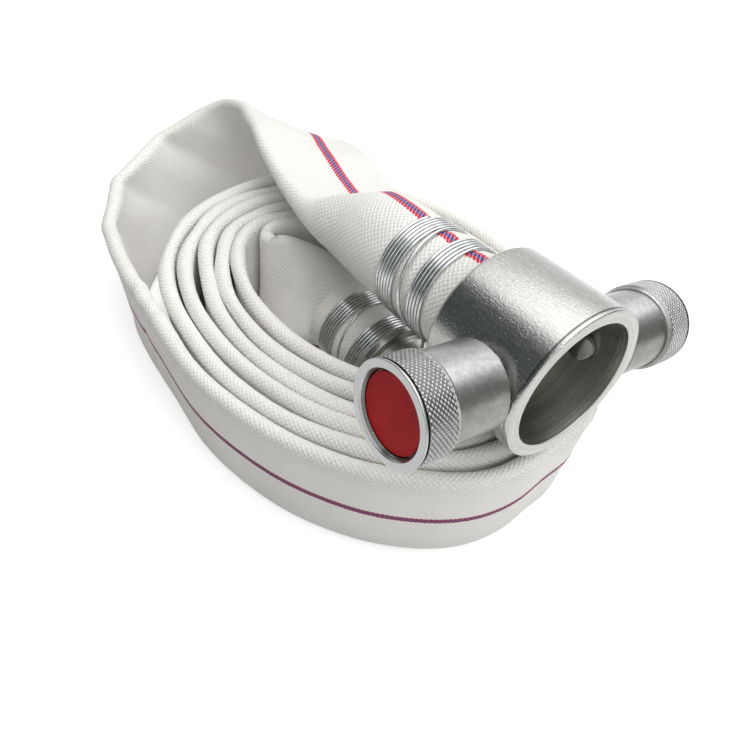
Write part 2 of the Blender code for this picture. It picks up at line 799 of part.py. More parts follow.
def binding_wire(name, first_band, second_band, hook, frame, offset, collection):
    """Galvanised wire that clamps the hose on a tail, with its last end turned up."""
    points = band_points(first_band, second_band, hook)
    x, y, z = points[-1]
    rise = 1 + WIRE_END_RISE / math.hypot(y, z)
    spun = WIRE_END_TURN
    points.append(
        (
            x - WIRE_PITCH,
            rise * (y * math.cos(spun) - z * math.sin(spun)),
            rise * (y * math.sin(spun) + z * math.cos(spun)),
        )
    )
    place = Matrix.Translation((-offset, 0, 0))
    wire = wire_curve(name, points, WIRE_R, steel(name), collection, place)
    hang_on(wire, frame)
    least_gap(name, points, 2 * WIRE_R, math.pi * WIND_R)


def build():
    clear_scene()
    parts = new_collection("rolled_fire_hose")
    cutters = new_collection("cutters")
    cutters.hide_render = True
    female = add_frame("female_coupling", FEMALE_FRAME, parts)
    male = add_frame("male_coupling", MALE_FRAME, parts)
    lugs = {
        "near": add_frame("near_lug", Matrix.Rotation(math.pi / 2, 4, "X"), parts, female),
        "far": add_frame("far_lug", Matrix.Rotation(-math.pi / 2, 4, "X"), parts, female),
    }
    hose(parts)
    female_body(parts, cutters, female, lugs)
    seal_ring(parts, female)
    for side, lug in lugs.items():
        plunger(side, parts, cutters, lug)
        spring(side, parts, lug)
        gland_nut(side, parts, lug)
        knob(side, parts, lug)
        knob_nut(side, parts, cutters, lug)
        knob_cap(side, parts, lug)
    male_body(parts, male)
    binding_wire(
        "outer_binding_wire",
        FEMALE_FIRST_BAND,
        FEMALE_SECOND_BAND,
        HOOK_RISE,
        female,
        REAR_AT,
        parts,
    )
    binding_wire(
        "inner_binding_wire", MALE_FIRST_BAND, MALE_SECOND_BAND, 0, male, 0, parts
    )
    bpy.context.view_layer.update()


build()
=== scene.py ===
import math

import bmesh
import bpy
import numpy as np
from mathutils import Matrix, Vector


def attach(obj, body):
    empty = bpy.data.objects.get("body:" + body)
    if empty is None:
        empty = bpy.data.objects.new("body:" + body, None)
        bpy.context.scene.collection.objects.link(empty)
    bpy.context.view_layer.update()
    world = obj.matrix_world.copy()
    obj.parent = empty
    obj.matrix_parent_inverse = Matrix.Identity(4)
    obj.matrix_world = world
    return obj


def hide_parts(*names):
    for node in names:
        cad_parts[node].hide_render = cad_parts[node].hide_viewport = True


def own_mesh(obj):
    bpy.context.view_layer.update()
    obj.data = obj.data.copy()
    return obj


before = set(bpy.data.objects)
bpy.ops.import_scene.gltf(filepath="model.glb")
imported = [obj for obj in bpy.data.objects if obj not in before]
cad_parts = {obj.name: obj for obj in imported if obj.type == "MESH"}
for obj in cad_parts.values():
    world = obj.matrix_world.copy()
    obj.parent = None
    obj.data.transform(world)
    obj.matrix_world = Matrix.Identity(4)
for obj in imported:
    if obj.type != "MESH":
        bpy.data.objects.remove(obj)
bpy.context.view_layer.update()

MM = 0.001
SCENE = bpy.context.scene

# Sizes and places that the source of the part also has
HOSE_WIDTH = 82 * MM
HOSE_FLAT = 10.4 * MM
HOSE_GIRTH = 178.56 * MM
ROUND_R = HOSE_GIRTH / (2 * math.pi)
HOSE_WALL = 3.2 * MM
ROLL_PITCH = 11.2 * MM
ROLL_SLACK = 1.7 * MM
SLACK_AT = math.radians(15)
ROLL_DENT = 1.0 * MM
DENT_AT = math.radians(-8)
DENT_HALF = math.radians(10)
CORE_LONG = 88 * MM
CORE_SHORT = 52 * MM
CORE_YAW = math.radians(12)
FLOOR_CUT = 0.5 * MM
START_TURNS = -0.04
END_TURNS = 5.80
LOOP_STATIONS = 24
ROLL_X = 34.430 * MM
ROLL_Y = 1.560 * MM
GAP = 0.3 * MM
REAR_AT = 38.9 * MM
FEMALE_TAIL = 66 * MM
MALE_TAIL = 52 * MM
HOSE_PAST_TAIL = 6 * MM
FEMALE_FRAME = (
    Matrix.Translation((ROLL_X + 131 * MM, ROLL_Y + 15.3 * MM, 128.8 * MM))
    @ Matrix.Rotation(math.radians(-5.6), 4, "Y")
    @ Matrix.Rotation(math.radians(-11.4), 4, "X")
)
MALE_FRAME = Matrix.Translation((ROLL_X + 36 * MM, ROLL_Y + 6 * MM, 37 * MM))
ALONG_AXIS = Matrix.Rotation(math.pi / 2, 4, "Y")
LUGS = {
    "near": FEMALE_FRAME @ Matrix.Rotation(math.pi / 2, 4, "X"),
    "far": FEMALE_FRAME @ Matrix.Rotation(-math.pi / 2, 4, "X"),
}
BODY = "hose_with_couplings"

# Coupling sizes in millimetres: radii, and places along the coupling's axis from the lugs' axis
BODY_R = 41.9
MOUTH_R = 35
MOUTH_AT = 22.2
REAR = -REAR_AT / MM
SEAT = MOUTH_AT - 40
THROAT_R = 27
THROAT_DEEP = 12
TAIL_R = 23.634
TAIL_BORE = TAIL_R - 3.5
RIM_GROOVE = MOUTH_AT - 2.25
PLUG_NOSE_R = MOUTH_R - 0.4
PLUG_GROOVE_R = 31
PLUG_FLANGE_R = 36.7

# Lug, knob and plunger sizes in millimetres: radii, and places along the lug's axis from the coupling's axis
BOSS_R = 15.8
BOSS_FOOT = 37
BOSS_END = 70
LIP_RISE = 3.0
LIP_FOOT = 27.5
LUG_OPEN_IN = 22.5
LUG_OPEN_OUT = 77
GUIDE_R = 7.4
COLLAR_SEAT = 44
SPRING_ROOM_R = 9.4
GLAND_SEAT = 61.7
GLAND_R = 11.3
KNOB_R = 24.1
KNURL_LOW = 76.9
KNURL_HIGH = 92.2
KNURL_COUNT = 54
KNURL_ROWS = 7
KNURL_FINE = 6
KNURL_DEPTH = 0.7
KNURL_STEEP = 2.2  # over 1, the diamonds have flat tops
SLEEVE_R = 21.7
SLEEVE_BORE = 16.2
SLEEVE_LOW = 45.4
SLEEVE_HIGH = 74.6
WEB_LOW = 74.8
WEB_HIGH = 82
STEM_HOLE_R = 4.3
NUT_ROOM_R = 15.5
DISC_SHELF = 90.3
RECESS_R = 18.7
DISC_R = 18.3
DISC_LOW = 90.6
DISC_HIGH = 91.9
KNOB_FACE = 94.3
STEM_R = 4
STEM_END = 88.2
COLLAR_R = 9
COLLAR_LOW = 44.3
COLLAR_HIGH = 47.3
TOOTH_R = 7
TOOTH_END = 29.5
TOOTH_SLOPE = math.radians(-35)
SPRING_LOW = 48.25
SPRING_HIGH = 61.05
SPRING_TURNS = 4.5
SPRING_R = 6.4
SPRING_WIRE_R = 0.65

# Runs of the hose: place in shares of the roll's half length and half breadth and of the hose's width,
# direction of the edge, and roundness
OUTER_RUN = [
    ((-0.0523, 0.1453, 1.3780), (-0.02, -0.98, 0.20), 0.916),
    ((-0.1569, 0.1624, 1.3415), (-0.05, -0.97, 0.21), 0.631),
    ((-0.2680, 0.1881, 1.2988), (-0.08, -0.97, 0.22), 0.236),
    ((-0.4576, 0.2223, 1.3232), (-0.10, -0.97, 0.22), 0.051),
    ((-0.6930, 0.2736, 1.3659), (-0.10, -0.97, 0.24), 0),
    ((-0.9218, 0.3334, 1.3293), (-0.03, -0.90, 0.42), 0),
    ((-1.1376, 0.3505, 1.1707), (0, -0.72, 0.69), 0),
    ((-1.3337, 0.1966, 0.9268), (-0.15, -0.40, 0.90), 0),
    ((-1.4121, -0.1539, 0.6951), (-0.15, -0.10, 0.98), 0),
    ((-1.3337, -0.5301, 0.5732), (-0.12, 0, 0.99), 0),
    ((-1.1330, -0.8200, 0.5080), (-0.05, -0.04, 1), 0),
    ((-0.7790, -0.9850, 0.4960), (0, -0.02, 1), 0),
]
INNER_RUN = [
    ((-0.5170, -0.2420, 0.5), (-0.02, -0.01, 1), 0.003),
    ((-0.4740, -0.2460, 0.5), (0, -0.01, 1), 0.016),
    ((-0.4053, -0.1795, 0.4939), (0, 0, 1), 0.104),
    ((-0.3073, -0.0684, 0.4817), (0, 0, 1), 0.367),
    ((-0.2027, 0.0342, 0.4634), (0, 0, 1), 0.762),
]


# Camera at the photograph's viewpoint: the picture's directions in the frame, place and lens
CAMERA_RIGHT = Vector((0.5690, 0.8194, 0.0690))
CAMERA_DOWN = Vector((0.6496, -0.3965, -0.6487))
CAMERA_FORWARD = Vector((-0.5042, 0.4139, -0.7579))
CAMERA_PLACE = (0.272430, -0.173440, 0.3414)
CAMERA_LENS = 29.01
CAMERA_SENSOR = 36


def add_camera():
    data = bpy.data.cameras.new("photo_camera")
    data.lens = CAMERA_LENS
    data.sensor_width = CAMERA_SENSOR
    data.clip_start = 0.01
    camera = bpy.data.objects.new("photo_camera", data)
    columns = Matrix((CAMERA_RIGHT, -CAMERA_DOWN, -CAMERA_FORWARD)).transposed().to_4x4()
    camera.matrix_world = Matrix.Translation(CAMERA_PLACE) @ columns
    SCENE.collection.objects.link(camera)
    SCENE.camera = camera


# Node graphs
class Graph:
    """A material's nodes, made by short calls. A value may be a number, a colour or another node's output."""

    def __init__(self, name):
        self.material = bpy.data.materials.new(name)
        self.material.use_nodes = True
        self.tree = self.material.node_tree
        self.shader = self.tree.nodes["Principled BSDF"]

    def put(self, socket, value):
        if isinstance(value, bpy.types.NodeSocket):
            self.tree.links.new(value, socket)
        else:
            socket.default_value = value

    def node(self, kind, inputs=None, **settings):
        made = self.tree.nodes.new(kind)
        for key, value in settings.items():
            setattr(made, key, value)
        for key, value in (inputs or {}).items():
            self.put(made.inputs[key], value)
        return made

    def math(self, operation, a, b=0.0, c=0.0):
        made = self.node("ShaderNodeMath", {0: a, 1: b, 2: c}, operation=operation)
        return made.outputs[0]

    def times(self, a, b):
        return self.math("MULTIPLY", a, b)

    def smooth(self, value, low, high, out_low=0.0, out_high=1.0):
        """Smooth step of a value from low..high to out_low..out_high."""
        made = self.node("ShaderNodeMapRange", interpolation_type="SMOOTHSTEP")
        for index, part in enumerate((value, low, high, out_low, out_high)):
            self.put(made.inputs[index], part)
        return made.outputs[0]

    def mix(self, share, a, b):
        made = self.node("ShaderNodeMix", data_type="RGBA")
        for index, part in ((0, share), (6, a), (7, b)):
            self.put(made.inputs[index], part)
        return made.outputs[2]

    def object_point(self, scale=(1, 1, 1)):
        coordinates = self.node("ShaderNodeTexCoord").outputs["Object"]
        mapping = self.node("ShaderNodeMapping", {"Vector": coordinates})
        mapping.inputs["Scale"].default_value = scale
        return mapping.outputs[0]

    def turned(self, point):
        """Place along X and along Z of a point, and its distance from Z."""
        x, y, z = self.node("ShaderNodeSeparateXYZ", {0: point}).outputs
        square = self.math("ADD", self.math("POWER", x, 2.0), self.math("POWER", y, 2.0))
        return x, z, self.math("SQRT", square)

    def noise(self, point, scale, detail=2.0, roughness=0.5):
        inputs = {"Vector": point, "Scale": scale, "Detail": detail, "Roughness": roughness}
        return self.node("ShaderNodeTexNoise", inputs).outputs["Fac"]

    def bump(self, height, distance):
        inputs = {"Height": height, "Distance": distance, "Strength": 1.0}
        return self.node("ShaderNodeBump", inputs).outputs[0]

    def finish(self, colour, roughness, metallic=0.0, normal=None, **others):
        self.put(self.shader.inputs["Base Color"], colour)
        self.put(self.shader.inputs["Roughness"], roughness)
        self.put(self.shader.inputs["Metallic"], metallic)
        if normal:
            self.put(self.shader.inputs["Normal"], normal)
        for key, value in others.items():
            self.put(self.shader.inputs[key.replace("_", " ")], value)
        return self.material


WEAVE_COUNT = 54
WEAVE_AROUND = HOSE_GIRTH / WEAVE_COUNT
WEAVE_ALONG = 3.2 * MM
STRIPE_STRAND = 2.6 * MM
STRIPE_HALF = 3.9 * MM
STRIPE_DRAWN_IN = 1.6 * MM


def jacket_material():
    """White plain weave with a red, blue and red tracer along the middle of one face, in metres of UV."""
    g = Graph("woven_jacket")
    uv = g.node("ShaderNodeUVMap", uv_map="jacket").outputs[0]
    split = g.node("ShaderNodeSeparateXYZ", {0: uv})
    around, along = split.outputs[0], split.outputs[1]
    side = g.math("ABSOLUTE", around)
    wander = g.noise(uv, 240.0, 2.0)
    drift = g.math("MULTIPLY_ADD", wander, 1.2 * MM, -0.6 * MM)
    around_w = g.math("ADD", around, drift)
    along_w = g.math("ADD", along, drift)
    rows = g.math("COSINE", g.times(around_w, 2 * math.pi / WEAVE_AROUND))
    picks = g.math("COSINE", g.times(along_w, 2 * math.pi / WEAVE_ALONG))
    weave = g.times(rows, picks)
    # The weave stands open on the folds and on the filled tail, and lies pressed on the flats
    past_fold = g.smooth(side, 54 * MM, 66 * MM, 1.0, 0.0)
    fold = g.times(g.smooth(side, 22 * MM, 36 * MM), past_fold)
    opened = g.math("MAXIMUM", fold, g.smooth(along, 0.20, 0.30, 1.0, 0.0))
    opened = g.math("MULTIPLY_ADD", opened, 0.7, 0.3)
    # Painted shade: the hollows between the threads are darker, the more so where the weave stands open
    weave_hollow_shade = g.times(g.smooth(weave, -1.0, 0.0, 1.0, 0.0), opened)
    fibre = g.noise(uv, 2600.0, 2.0)
    soil = g.noise(uv, 14.0, 3.0, 0.55)
    white = g.mix(g.smooth(soil, 0.35, 0.7), (0.855, 0.842, 0.80, 1), (0.90, 0.892, 0.858, 1))
    thread = g.mix(weave_hollow_shade, white, (0.79, 0.778, 0.74, 1))
    thread = g.mix(g.smooth(fibre, 0.3, 0.75, 0.0, 0.10), thread, (0.96, 0.955, 0.94, 1))
    # Tracer: two red chains with a blue cord between them, drawn in on the roll
    tight = g.smooth(along, 0.42, 0.60)
    half = g.math("MULTIPLY_ADD", tight, -STRIPE_DRAWN_IN, STRIPE_HALF)
    turn = g.times(along, 2 * math.pi / STRIPE_STRAND)
    slant = g.math("SINE", g.math("MULTIPLY_ADD", around, 1900.0, turn))
    scallop = g.math("MULTIPLY_ADD", g.math("COSINE", turn), 0.13, 1.0)
    inside = g.math("LESS_THAN", side, g.times(half, scallop))
    middle = g.times(half, g.math("MULTIPLY_ADD", slant, 0.11, 0.36))
    middle = g.math("LESS_THAN", side, middle)
    red = g.mix(g.smooth(slant, -1.0, -0.35), (0.80, 0.30, 0.34, 1), (0.68, 0.022, 0.06, 1))
    blue = g.mix(g.smooth(slant, -0.5, 0.9), (0.24, 0.25, 0.48, 1), (0.035, 0.045, 0.20, 1))
    tracer = g.mix(middle, red, blue)
    tracer = g.mix(g.times(tight, 0.62), tracer, (0.10, 0.010, 0.06, 1))
    # Painted shade: the tracer too is darker in the weave's hollows
    tracer = g.mix(g.times(weave_hollow_shade, 0.25), tracer, (0.12, 0.02, 0.05, 1))
    colour = g.mix(inside, thread, tracer)
    height = g.times(g.times(weave, opened), 0.6)
    height = g.math("MULTIPLY_ADD", picks, 0.05, height)
    height = g.math("MULTIPLY_ADD", fibre, 0.2, height)
    normal = g.bump(height, 0.36 * MM)
    return g.finish(colour, 0.88, 0.0, normal, Sheen_Weight=0.12, Specular_IOR_Level=0.25)


def body_aluminium(name):
    """Coupling metal about local Z: brushed along the outside, turned in the bore and on the face."""
    g = Graph(name)
    point = g.object_point()
    _, height_at, radius = g.turned(point)
    ring_point = g.node("ShaderNodeCombineXYZ", {0: radius, 1: height_at}).outputs[0]
    rings = g.noise(ring_point, 1500.0, 3.0, 0.7)
    brushed = g.noise(g.object_point((1500, 1500, 150)), 1.0, 3.0, 0.7)
    outside = g.smooth(radius, (BODY_R - 0.7) * MM, (BODY_R - 0.2) * MM)
    bore = g.smooth(radius, (MOUTH_R + 0.1) * MM, (MOUTH_R + 0.6) * MM, 1.0, 0.0)
    lines = g.math("ADD", rings, g.times(outside, g.math("SUBTRACT", brushed, rings)))
    patches = g.noise(point, 60.0, 3.0, 0.6)
    dents = g.noise(point, 950.0, 1.0, 0.5)
    nicks = g.smooth(g.noise(g.object_point((1300, 420, 700)), 1.0, 1.0, 0.4), 0.66, 0.74)
    pits = g.smooth(g.noise(point, 620.0, 2.0, 0.7), 0.66, 0.76)
    colour = g.mix(g.smooth(lines, 0.30, 0.70), (0.385, 0.385, 0.372, 1), (0.484, 0.483, 0.466, 1))
    colour = g.mix(g.smooth(patches, 0.45, 0.75, 0.0, 0.35), colour, (0.362, 0.356, 0.335, 1))
    colour = g.mix(g.times(bore, 0.75), colour, (0.66, 0.647, 0.605, 1))
    worn = g.times(bore, g.smooth(rings, 0.42, 0.66, 0.42, 0.0))
    colour = g.mix(worn, colour, (0.22, 0.213, 0.19, 1))
    # Painted shade: a near-black line in the groove on the rim
    off_groove = g.math("ABSOLUTE", g.math("SUBTRACT", height_at, RIM_GROOVE * MM))
    groove_shade = g.times(g.smooth(off_groove, 0.3 * MM, 0.75 * MM, 1.0, 0.0), outside)
    colour = g.mix(g.times(groove_shade, 0.75), colour, (0.10, 0.098, 0.09, 1))
    colour = g.mix(g.times(pits, 0.45), colour, (0.20, 0.195, 0.18, 1))
    colour = g.mix(g.times(nicks, 0.35), colour, (0.72, 0.725, 0.73, 1))
    roughness = g.math("MULTIPLY_ADD", lines, 0.16, 0.11)
    roughness = g.math("MULTIPLY_ADD", patches, 0.12, roughness)
    roughness = g.math("MULTIPLY_ADD", bore, 0.06, roughness)
    height = g.math("MULTIPLY_ADD", dents, 1.5, g.times(lines, 0.9))
    height = g.math("MULTIPLY_ADD", nicks, 0.5, height)
    height = g.math("SUBTRACT", height, g.times(pits, 0.5))
    return g.finish(colour, roughness, 1.0, g.bump(height, 0.055 * MM))


def turned_aluminium(name):
    """Knob metal about local Z: ringed face, painted shade in the knurl's grooves, mottled sleeve with a
    stain and painted shade on one side.
    """
    g = Graph(name)
    point = g.object_point()
    aside, height_at, radius = g.turned(point)
    rings = g.noise(g.node("ShaderNodeCombineXYZ", {0: radius}).outputs[0], 2400.0, 3.0, 0.7)
    patches = g.noise(point, 70.0, 3.0, 0.6)
    mottle = g.noise(point, 420.0, 3.0, 0.65)
    fine = g.noise(point, 1300.0, 2.0, 0.7)
    specks = g.smooth(fine, 0.66, 0.74)
    bright = g.smooth(g.noise(point, 1000.0, 1.0), 0.70, 0.78)
    face = g.smooth(height_at, (KNURL_HIGH + 0.9) * MM, (KNURL_HIGH + 1.3) * MM)
    sleeve = g.smooth(height_at, WEB_LOW * MM, (KNURL_LOW - 0.3) * MM, 1.0, 0.0)
    grain = g.math("ADD", mottle, g.times(face, g.math("SUBTRACT", rings, mottle)))
    colour = g.mix(g.smooth(grain, 0.32, 0.68), (0.36, 0.37, 0.368, 1), (0.46, 0.468, 0.463, 1))
    # A brown stain, darkened further as painted shade, on the sleeve's +X side
    stain = g.times(g.smooth(aside, 9 * MM, 20 * MM), g.smooth(patches, 0.25, 0.7, 0.55, 0.95))
    stain = g.times(sleeve, stain)
    colour = g.mix(stain, colour, (0.185, 0.178, 0.155, 1))
    # Painted shade: the knurl's grooves darkened near their bottoms
    groove_shade = g.smooth(radius, (KNOB_R - 0.5) * MM, (KNOB_R - 0.15) * MM, 1.0, 0.0)
    knurl = g.math("SUBTRACT", g.math("SUBTRACT", 1.0, face), sleeve)
    knurl_groove_shade = g.times(knurl, g.times(groove_shade, 0.88))
    colour = g.mix(knurl_groove_shade, colour, (0.13, 0.128, 0.12, 1))
    colour = g.mix(g.times(specks, 0.6), colour, (0.16, 0.155, 0.14, 1))
    colour = g.mix(g.times(bright, 0.45), colour, (0.78, 0.78, 0.78, 1))
    roughness = g.math("MULTIPLY_ADD", sleeve, 0.06, g.math("MULTIPLY_ADD", patches, 0.2, 0.16))
    height = g.math("SUBTRACT", g.times(grain, 0.5), g.times(specks, 0.5))
    height = g.math("MULTIPLY_ADD", fine, 0.5, height)
    return g.finish(colour, roughness, 1.0, g.bump(height, 0.03 * MM))


def wire_material():
    g = Graph("galvanised_wire")
    point = g.object_point()
    dull = g.noise(point, 220.0, 3.0, 0.6)
    drawn = g.noise(point, 1500.0, 2.0)
    colour = g.mix(g.smooth(dull, 0.35, 0.7), (0.66, 0.675, 0.68, 1), (0.50, 0.515, 0.52, 1))
    roughness = g.math("MULTIPLY_ADD", dull, 0.16, 0.16)
    return g.finish(colour, roughness, 1.0, g.bump(drawn, 0.003 * MM))


def steel_material(name, base, rough):
    g = Graph(name)
    point = g.object_point()
    turned = g.noise(g.object_point((80, 80, 2600)), 1.0, 3.0, 0.6)
    stain = g.noise(point, 160.0, 3.0, 0.6)
    lighter = tuple(min(1, 1.18 * part) for part in base) + (1,)
    colour = g.mix(g.smooth(stain, 0.35, 0.7), (*base, 1), lighter)
    roughness = g.math("MULTIPLY_ADD", turned, 0.2, rough - 0.1)
    return g.finish(colour, roughness, 1.0, g.bump(turned, 0.015 * MM))


def rubber_material():
    g = Graph("seal_rubber")
    grain = g.noise(g.object_point(), 900.0, 3.0, 0.6)
    dust = g.noise(g.object_point(), 90.0, 2.0)
    colour = g.mix(g.smooth(dust, 0.4, 0.8, 0.0, 0.5), (0.022, 0.022, 0.022, 1), (0.07, 0.07, 0.068, 1))
    return g.finish(colour, g.math("MULTIPLY_ADD", grain, 0.2, 0.55), 0.0, g.bump(grain, 0.03 * MM))


def cap_material():
    g = Graph("red_cap")
    point = g.object_point()
    cloud = g.noise(point, 60.0, 3.0, 0.6)
    grain = g.noise(point, 1600.0, 2.0, 0.7)
    dust = g.smooth(g.noise(point, 1200.0, 1.0), 0.72, 0.78)
    colour = g.mix(g.smooth(cloud, 0.3, 0.75), (0.38, 0.006, 0.009, 1), (0.52, 0.012, 0.014, 1))
    colour = g.mix(g.times(dust, 0.25), colour, (0.60, 0.16, 0.16, 1))
    roughness = g.math("MULTIPLY_ADD", cloud, 0.14, 0.26)
    return g.finish(colour, roughness, 0.0, g.bump(grain, 0.012 * MM), Specular_IOR_Level=0.06)


# Mesh helpers
def smooth_mesh(mesh, angle):
    """Smooth shading, apart from edges sharper than the angle in degrees."""
    mesh.polygons.foreach_set("use_smooth", [True] * len(mesh.polygons))
    mesh.set_sharp_from_angle(angle=math.radians(angle))


def add_piece(name, mesh, body, material, replaced, matrix=Matrix(), angle=38):
    smooth_mesh(mesh, angle)
    piece = bpy.data.objects.new(name, mesh)
    SCENE.collection.objects.link(piece)
    piece.matrix_world = matrix
    mesh.materials.clear()
    mesh.materials.append(material)
    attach(piece, body)
    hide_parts(replaced)
    return piece


def finish_mesh(build, name):
    mesh = bpy.data.meshes.new(name)
    build.to_mesh(mesh)
    build.free()
    return mesh


def fillet(points, segments=5):
    """A profile of (radius, height, corner radius) points with its corners turned into arcs. It is closed."""
    done = []
    count = len(points)
    for index, (r, z, corner) in enumerate(points):
        here = Vector((r, z))
        before = Vector(points[index - 1][:2]) - here
        after = Vector(points[(index + 1) % count][:2]) - here
        bend = before.angle(after) if before.length and after.length else math.pi
        if corner <= 0 or bend > 3.1:
            done.append((r, z))
            continue
        reach = min(corner / math.tan(bend / 2), 0.49 * before.length, 0.49 * after.length)
        start = here + before.normalized() * reach
        end = here + after.normalized() * reach
        for step in range(segments + 1):
            share = step / segments
            point = start.lerp(here, share).lerp(here.lerp(end, share), share)
            done.append((point.x, point.y))
    return done


def lathe(profile, steps, shape=None, closed=True):
    """Turns (radius, height) points about Z. shape(ring points, ring index) may move a ring's points.

    A closed profile doesn't touch the axis, and an open one begins and ends on it.
    """
    build = bmesh.new()
    turn = np.linspace(0, 2 * math.pi, steps, endpoint=False)
    rings = []
    for index, (radius, height) in enumerate(profile):
        if radius < 1e-7:
            rings.append([build.verts.new((0, 0, height))])
            continue
        ring = np.stack([radius * np.cos(turn), radius * np.sin(turn), np.full(steps, height)], 1)
        if shape:
            ring = shape(ring, index)
        rings.append([build.verts.new(point) for point in ring])
    pairs = list(zip(rings, rings[1:]))
    if closed:
        pairs.append((rings[-1], rings[0]))
    for first, second in pairs:
        for k in range(steps):
            after = (k + 1) % steps
            if len(first) == 1:
                build.faces.new((first[0], second[after], second[k]))
            elif len(second) == 1:
                build.faces.new((first[k], first[after], second[0]))
            else:
                build.faces.new((first[k], first[after], second[after], second[k]))
    bmesh.ops.recalc_face_normals(build, faces=build.faces)
    return finish_mesh(build, "turned")


def combined(mesh, tools):
    """The mesh after Booleans with (mesh, matrix, operation) tools, as a new mesh."""
    base = bpy.data.objects.new("base", mesh)
    SCENE.collection.objects.link(base)
    helpers = []
    for tool, matrix, operation in tools:
        helper = bpy.data.objects.new("tool", tool)
        helper.matrix_world = matrix
        SCENE.collection.objects.link(helper)
        helpers.append(helper)
        change = base.modifiers.new(operation, "BOOLEAN")
        change.operation = operation
        change.object = helper
    bpy.context.view_layer.update()
    graph = bpy.context.evaluated_depsgraph_get()
    result = bpy.data.meshes.new_from_object(base.evaluated_get(graph))
    for helper in [base, *helpers]:
        bpy.data.objects.remove(helper, do_unlink=True)
    return result


OFF_AXES = (0.3, 0.5, 0.81)  # a direction that no wire starts in


def tube(name, points, radius, sides=14):
    """A round wire through the points, with pointed ends, as a mesh."""
    points = np.array(points)
    tangents = np.gradient(points, axis=0)
    tangents /= np.linalg.norm(tangents, axis=1)[:, None]
    normal = np.cross(tangents[0], OFF_AXES)
    normal /= np.linalg.norm(normal)
    build = bmesh.new()
    rings = []
    turn = np.linspace(0, 2 * math.pi, sides, endpoint=False)
    for place, tangent in zip(points, tangents):
        normal = normal - tangent * np.dot(normal, tangent)
        normal /= np.linalg.norm(normal)
        other = np.cross(tangent, normal)
        ring = place + radius * (np.cos(turn)[:, None] * normal + np.sin(turn)[:, None] * other)
        rings.append([build.verts.new(point) for point in ring])
    for first, second in zip(rings, rings[1:]):
        for k in range(sides):
            after = (k + 1) % sides
            build.faces.new((first[k], first[after], second[after], second[k]))
    ends = ((rings[0], points[0], -tangents[0]), (rings[-1], points[-1], tangents[-1]))
    for ring, place, tangent in ends:
        tip = build.verts.new(place + tangent * radius * 0.5)
        for k in range(sides):
            build.faces.new((ring[k], ring[(k + 1) % sides], tip))
    bmesh.ops.recalc_face_normals(build, faces=build.faces)
    return finish_mesh(build, name)


# Hose
def roll_place(turn):
    """Middle of the hose on the roll, at a number of turns from the innermost left bend."""
    angle = math.pi - 2 * math.pi * turn
    out = np.array([math.cos(angle), math.sin(angle)])
    reach = math.hypot(CORE_LONG * out[0], CORE_SHORT * out[1])
    core = np.array([CORE_LONG**2 * out[0], CORE_SHORT**2 * out[1]]) / reach
    from_dent = math.remainder(angle - DENT_AT, 2 * math.pi) / DENT_HALF
    pitch = ROLL_PITCH + ROLL_SLACK * max(0, math.cos(angle - SLACK_AT)) ** 2
    pitch -= ROLL_DENT * math.exp(-(from_dent**2))
    place = core + pitch * turn * out
    c, s = math.cos(CORE_YAW), math.sin(CORE_YAW)
    x, y = np.array([[c, -s], [s, c]]) @ place
    return x + ROLL_X, y + ROLL_Y, HOSE_WIDTH / 2 - FLOOR_CUT


def hose_knots():
    """Rows of place, edge, roundness, turn (-1 off the roll), and the number of steps after each row."""
    rows, steps = [], []

    def straight(coupling, distances, edge, count):
        direction = coupling.to_3x3() @ Vector(edge)
        for distance in distances:
            place = coupling @ Vector((-distance, 0, 0))
            rows.append([*place, *direction, 1.0, -1.0])
            steps.append(count)

    def run(points, count):
        for (long, short, high), edge, roundness in points:
            x = ROLL_X + long * (CORE_LONG + ROLL_PITCH * END_TURNS)
            y = ROLL_Y + short * (CORE_SHORT + ROLL_PITCH * END_TURNS)
            rows.append([x, y, high * HOSE_WIDTH, *edge, roundness, -1.0])
            steps.append(count)

    first, last = REAR_AT + GAP, REAR_AT + FEMALE_TAIL + HOSE_PAST_TAIL
    straight(FEMALE_FRAME, (first, (first + last) / 2, last), (0, -1, 0), 24)
    run(OUTER_RUN, 16)
    stations = round((END_TURNS - START_TURNS) * LOOP_STATIONS)
    for i in range(stations + 1):
        turn = END_TURNS + (START_TURNS - END_TURNS) * i / stations
        rows.append([*roll_place(turn), 0.0, 0.0, 1.0, 0.0, turn])
        steps.append(4)
    run(INNER_RUN, 12)
    last = MALE_TAIL + HOSE_PAST_TAIL
    straight(MALE_FRAME, (last, (GAP + last) / 2, GAP), (0, 0, 1), 20)
    return np.array(rows), steps


def hose_rows():
    """Fine rows along the hose, with each row's length from the socket end and its weight on the roll."""
    knots, steps = hose_knots()
    padded = np.vstack([2 * knots[0] - knots[1], knots, 2 * knots[-1] - knots[-2]])
    on_roll = (knots[:, 7] > -0.5).astype(float)
    rows, weights = [], []
    for index in range(len(knots) - 1):
        a, b, c, d = padded[index : index + 4]
        for step in range(steps[index]):
            t = step / steps[index]
            bend, twist = 2 * a - 5 * b + 4 * c - d, 3 * b - a - 3 * c + d
            row = 0.5 * (2 * b + (c - a) * t + bend * t**2 + twist * t**3)
            row[7] = b[7] + (c[7] - b[7]) * t
            rows.append(row)
            weights.append(on_roll[index] + (on_roll[index + 1] - on_roll[index]) * t)
    rows.append(knots[-1])
    weights.append(on_roll[-1])
    rows = np.array(rows)
    length = np.linalg.norm(np.diff(rows[:, :3], axis=0), axis=1)
    return rows, np.concatenate([[0], np.cumsum(length)]), np.array(weights)


def girth_grid():
    """Signed distances round the hose from the middle of its outer face, closer together at the folds."""
    first, fold = np.linspace(0, 34, 9), np.linspace(34, 55, 15)
    half = np.concatenate([first[:-1], fold[:-1], np.linspace(55, HOSE_GIRTH / 2 / MM, 9)])
    return np.concatenate([half, -half[-2:0:-1]]) * MM


